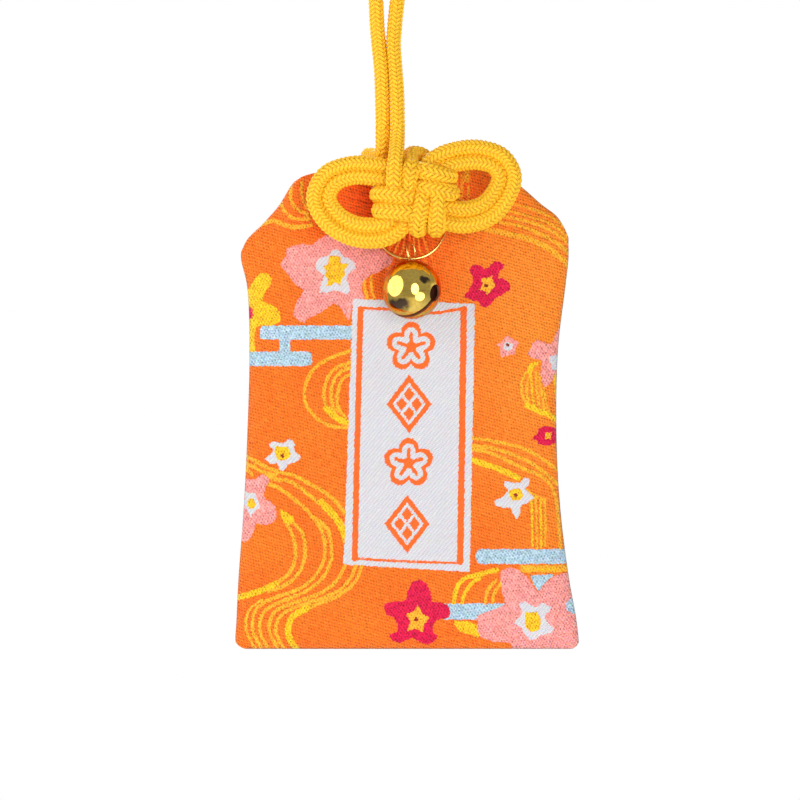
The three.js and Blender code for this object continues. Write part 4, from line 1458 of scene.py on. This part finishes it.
bell_matrix = frame_matrix(BELL_CENTRE, -BELL_LEAN, BELL_YAW)
right_side = [
    (1.3, 2.48),
    (0.56, 2.98),
    (0.31, 3.95),
    (0.31, 4.38),
    (0.8, 4.85),
    (1.22, 5.7),
    (1.15, 6.5),
    (0.65, 7.1),
]
shank_points = [(0, x, z) for x, z in right_side] + [(0, 0, 7.32)]
shank_points += [(0, -x, z) for x, z in reversed(right_side)]
shank = wire_piece("bell_shank_wire", smooth_line(shank_points, 0.12), SHANK_WIRE, bell_matrix)
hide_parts("bell_shank")
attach(shank, "bell")


def shell_half(name, upper):
    """Half of the bell as a turned shell with a folded rim."""
    rim = 0.002
    profile = []
    outside, inside = range(SHELL_STEPS + 1), range(SHELL_STEPS, -1, -1)
    for radius, steps in ((BELL_RADIUS, outside), (BELL_RADIUS - BELL_WALL, inside)):
        lowest = math.asin(rim / radius)
        for k in steps:
            angle = lowest + (math.pi / 2 - lowest) * k / SHELL_STEPS
            profile.append((radius * math.cos(angle), radius * math.sin(angle)))
    mesh = bmesh.new()
    rings = []
    for reach, height in profile:
        if reach < 1e-6:
            rings.append([mesh.verts.new((0, 0, height))])
            continue
        turns = [math.tau * k / SHELL_SIDES for k in range(SHELL_SIDES)]
        rings.append([mesh.verts.new((reach * math.cos(t), reach * math.sin(t), height)) for t in turns])
    rings.append(rings[0])
    for low, high in zip(rings[:-1], rings[1:]):
        for k in range(SHELL_SIDES):
            n = (k + 1) % SHELL_SIDES
            corners = [low[k % len(low)], low[n % len(low)], high[n % len(high)], high[k % len(high)]]
            unique = list(dict.fromkeys(corners))
            if len(unique) > 2:
                mesh.faces.new(unique)
    if not upper:
        bmesh.ops.scale(mesh, vec=(1, 1, -1), verts=mesh.verts)
    bmesh.ops.recalc_face_normals(mesh, faces=mesh.faces)
    return from_bmesh(name, mesh)


def cutter(name, build, matrix):
    mesh = bmesh.new()
    build(mesh)
    bmesh.ops.transform(mesh, matrix=matrix, verts=mesh.verts)
    return from_bmesh(name, mesh)


def cut_away(piece, cutters):
    for tool in cutters:
        modifier = piece.modifiers.new("cut", "BOOLEAN")
        modifier.object = tool
        modifier.operation = "DIFFERENCE"
        modifier.solver = "EXACT"
    applied(piece)
    for tool in cutters:
        bpy.data.objects.remove(tool)
    return piece


def finish_shell(piece):
    """Softens the slit's edges, dulls the inside and hangs the half in its place."""
    mesh = bmesh.new()
    mesh.from_mesh(piece.data)
    weights = mesh.edges.layers.float.new("bevel_weight_edge")
    for edge in mesh.edges:
        low = max(vertex.co.z for vertex in edge.verts) < SLIT_EDGE_LEVEL
        if low and len(edge.link_faces) == 2 and edge.calc_face_angle(0) > SLIT_EDGE_FOLD:
            edge[weights] = 1
    mesh.to_mesh(piece.data)
    mesh.free()
    soft = piece.modifiers.new("edge", "BEVEL")
    soft.width = SOFT_EDGE
    soft.segments = 3
    soft.limit_method = "WEIGHT"
    applied(piece)
    dress(piece.data, bell_finish, bell_inside_finish)
    for face in piece.data.polygons:
        face.material_index = int(face.center.length < INSIDE_REACH)
    piece.data.shade_smooth()
    piece.data.set_sharp_from_angle(angle=math.radians(50))
    piece.data.transform(bell_matrix)
    return piece


def round_hole(radius):
    def build(mesh):
        size = {"radius1": radius, "radius2": radius, "depth": CUT_DEPTH}
        bmesh.ops.create_cone(mesh, cap_ends=True, segments=48, **size)

    return build


crown = shell_half("bell_crown_shell", True)
top_hole = cutter("shank_hole", round_hole(SHANK_HOLE), Matrix.Translation((0, 0, BELL_RADIUS)))
crown = finish_shell(cut_away(crown, [top_hole]))
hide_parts("bell_crown")
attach(crown, "bell")

bowl = shell_half("bell_bowl_shell", False)
slit_width = 2 * BELL_RADIUS * math.cos(HOLE_DROP)
slit_top = -BELL_RADIUS * math.sin(HOLE_DROP)
slit_size = Matrix.Diagonal((slit_width, SLIT_GAP, 2 * BELL_RADIUS, 1))
slit_box = Matrix.Translation((0, 0, slit_top - BELL_RADIUS)) @ slit_size
tools = [cutter("slit", lambda mesh: bmesh.ops.create_cube(mesh, size=1), slit_box)]
for end in (-1, 1):
    aim = Vector((end * math.cos(HOLE_DROP), 0, -math.sin(HOLE_DROP)))
    turn = aim.to_track_quat("Z", "Y").to_matrix().to_4x4()
    tools.append(cutter("sound_hole", round_hole(SOUND_HOLE), Matrix.Translation(aim * BELL_RADIUS) @ turn))
bowl = finish_shell(cut_away(bowl, tools))
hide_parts("bell_bowl")
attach(bowl, "bell")

# Pieces inside, as the frame gives them
for node_name, finish in (
    ("lining_front", lining_finish),
    ("lining_back", lining_finish),
    ("stiffening_card", card_finish),
    ("folded_paper", paper_finish),
    ("bell_pellet", pellet_finish),
):
    dress(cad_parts[node_name].data, finish)

# Floor, light and surroundings
FLOOR_HEIGHT = -0.62
FLOOR_RADIUS = 4
LIGHT_AIM = Vector((0.003, -0.006, -0.09))
floor_material, floor_tree, floor_shader = new_material("pale floor")
set_looks(floor_tree, floor_shader, {"Base Color": dye(240, 240, 240), "Roughness": 0.8})
disc = bmesh.new()
bmesh.ops.create_circle(disc, cap_ends=True, segments=96, radius=FLOOR_RADIUS)
bmesh.ops.translate(disc, vec=(0, 0, FLOOR_HEIGHT), verts=disc.verts)
floor_mesh = bpy.data.meshes.new("floor")
disc.to_mesh(floor_mesh)
disc.free()
dress(floor_mesh, floor_material)
new_object("floor", floor_mesh)


def soft_light(name, spot, size, tall, watts):
    data = bpy.data.lights.new(name, "AREA")
    data.shape = "ELLIPSE"
    data.size = size
    data.size_y = tall
    data.energy = watts
    lamp = new_object(name, data)
    lamp.location = spot
    lamp.rotation_euler = (LIGHT_AIM - Vector(spot)).to_track_quat("-Z", "Y").to_euler()


soft_light("left light", (-0.55, -0.21, 0.03), 0.86, 0.8, 3.5)
soft_light("right light", (0.216, -0.884, -0.078), 0.46, 0.69, 4.3)
soft_light("low right light", (0.33, -0.44, -0.375), 0.41, 0.35, 1.1)
soft_light("back light", (-0.15, 0.7, 0.45), 0.5, 0.5, 4.0)

world = bpy.data.worlds.new("studio")
world.use_nodes = True
bpy.context.scene.world = world
sky = world.node_tree
ray = split(sky, step(sky, "ShaderNodeTexCoord").outputs["Generated"])
level = sums(sky, "ABSOLUTE", ray[2])
wall = product(sky, ranged(sky, level, 0.34, 0.2), ranged(sky, ray[1], -0.25, 0.1))
room = colours(sky, ranged(sky, ray[2], -0.7, 0.1), (0.03, 0.025, 0.02, 1), (0.4, 0.4, 0.4, 1))
feed(sky, sky.nodes["Background"].inputs["Color"], colours(sky, wall, room, (1, 1, 1, 1)))

bpy.context.scene.view_settings.view_transform = "Standard"
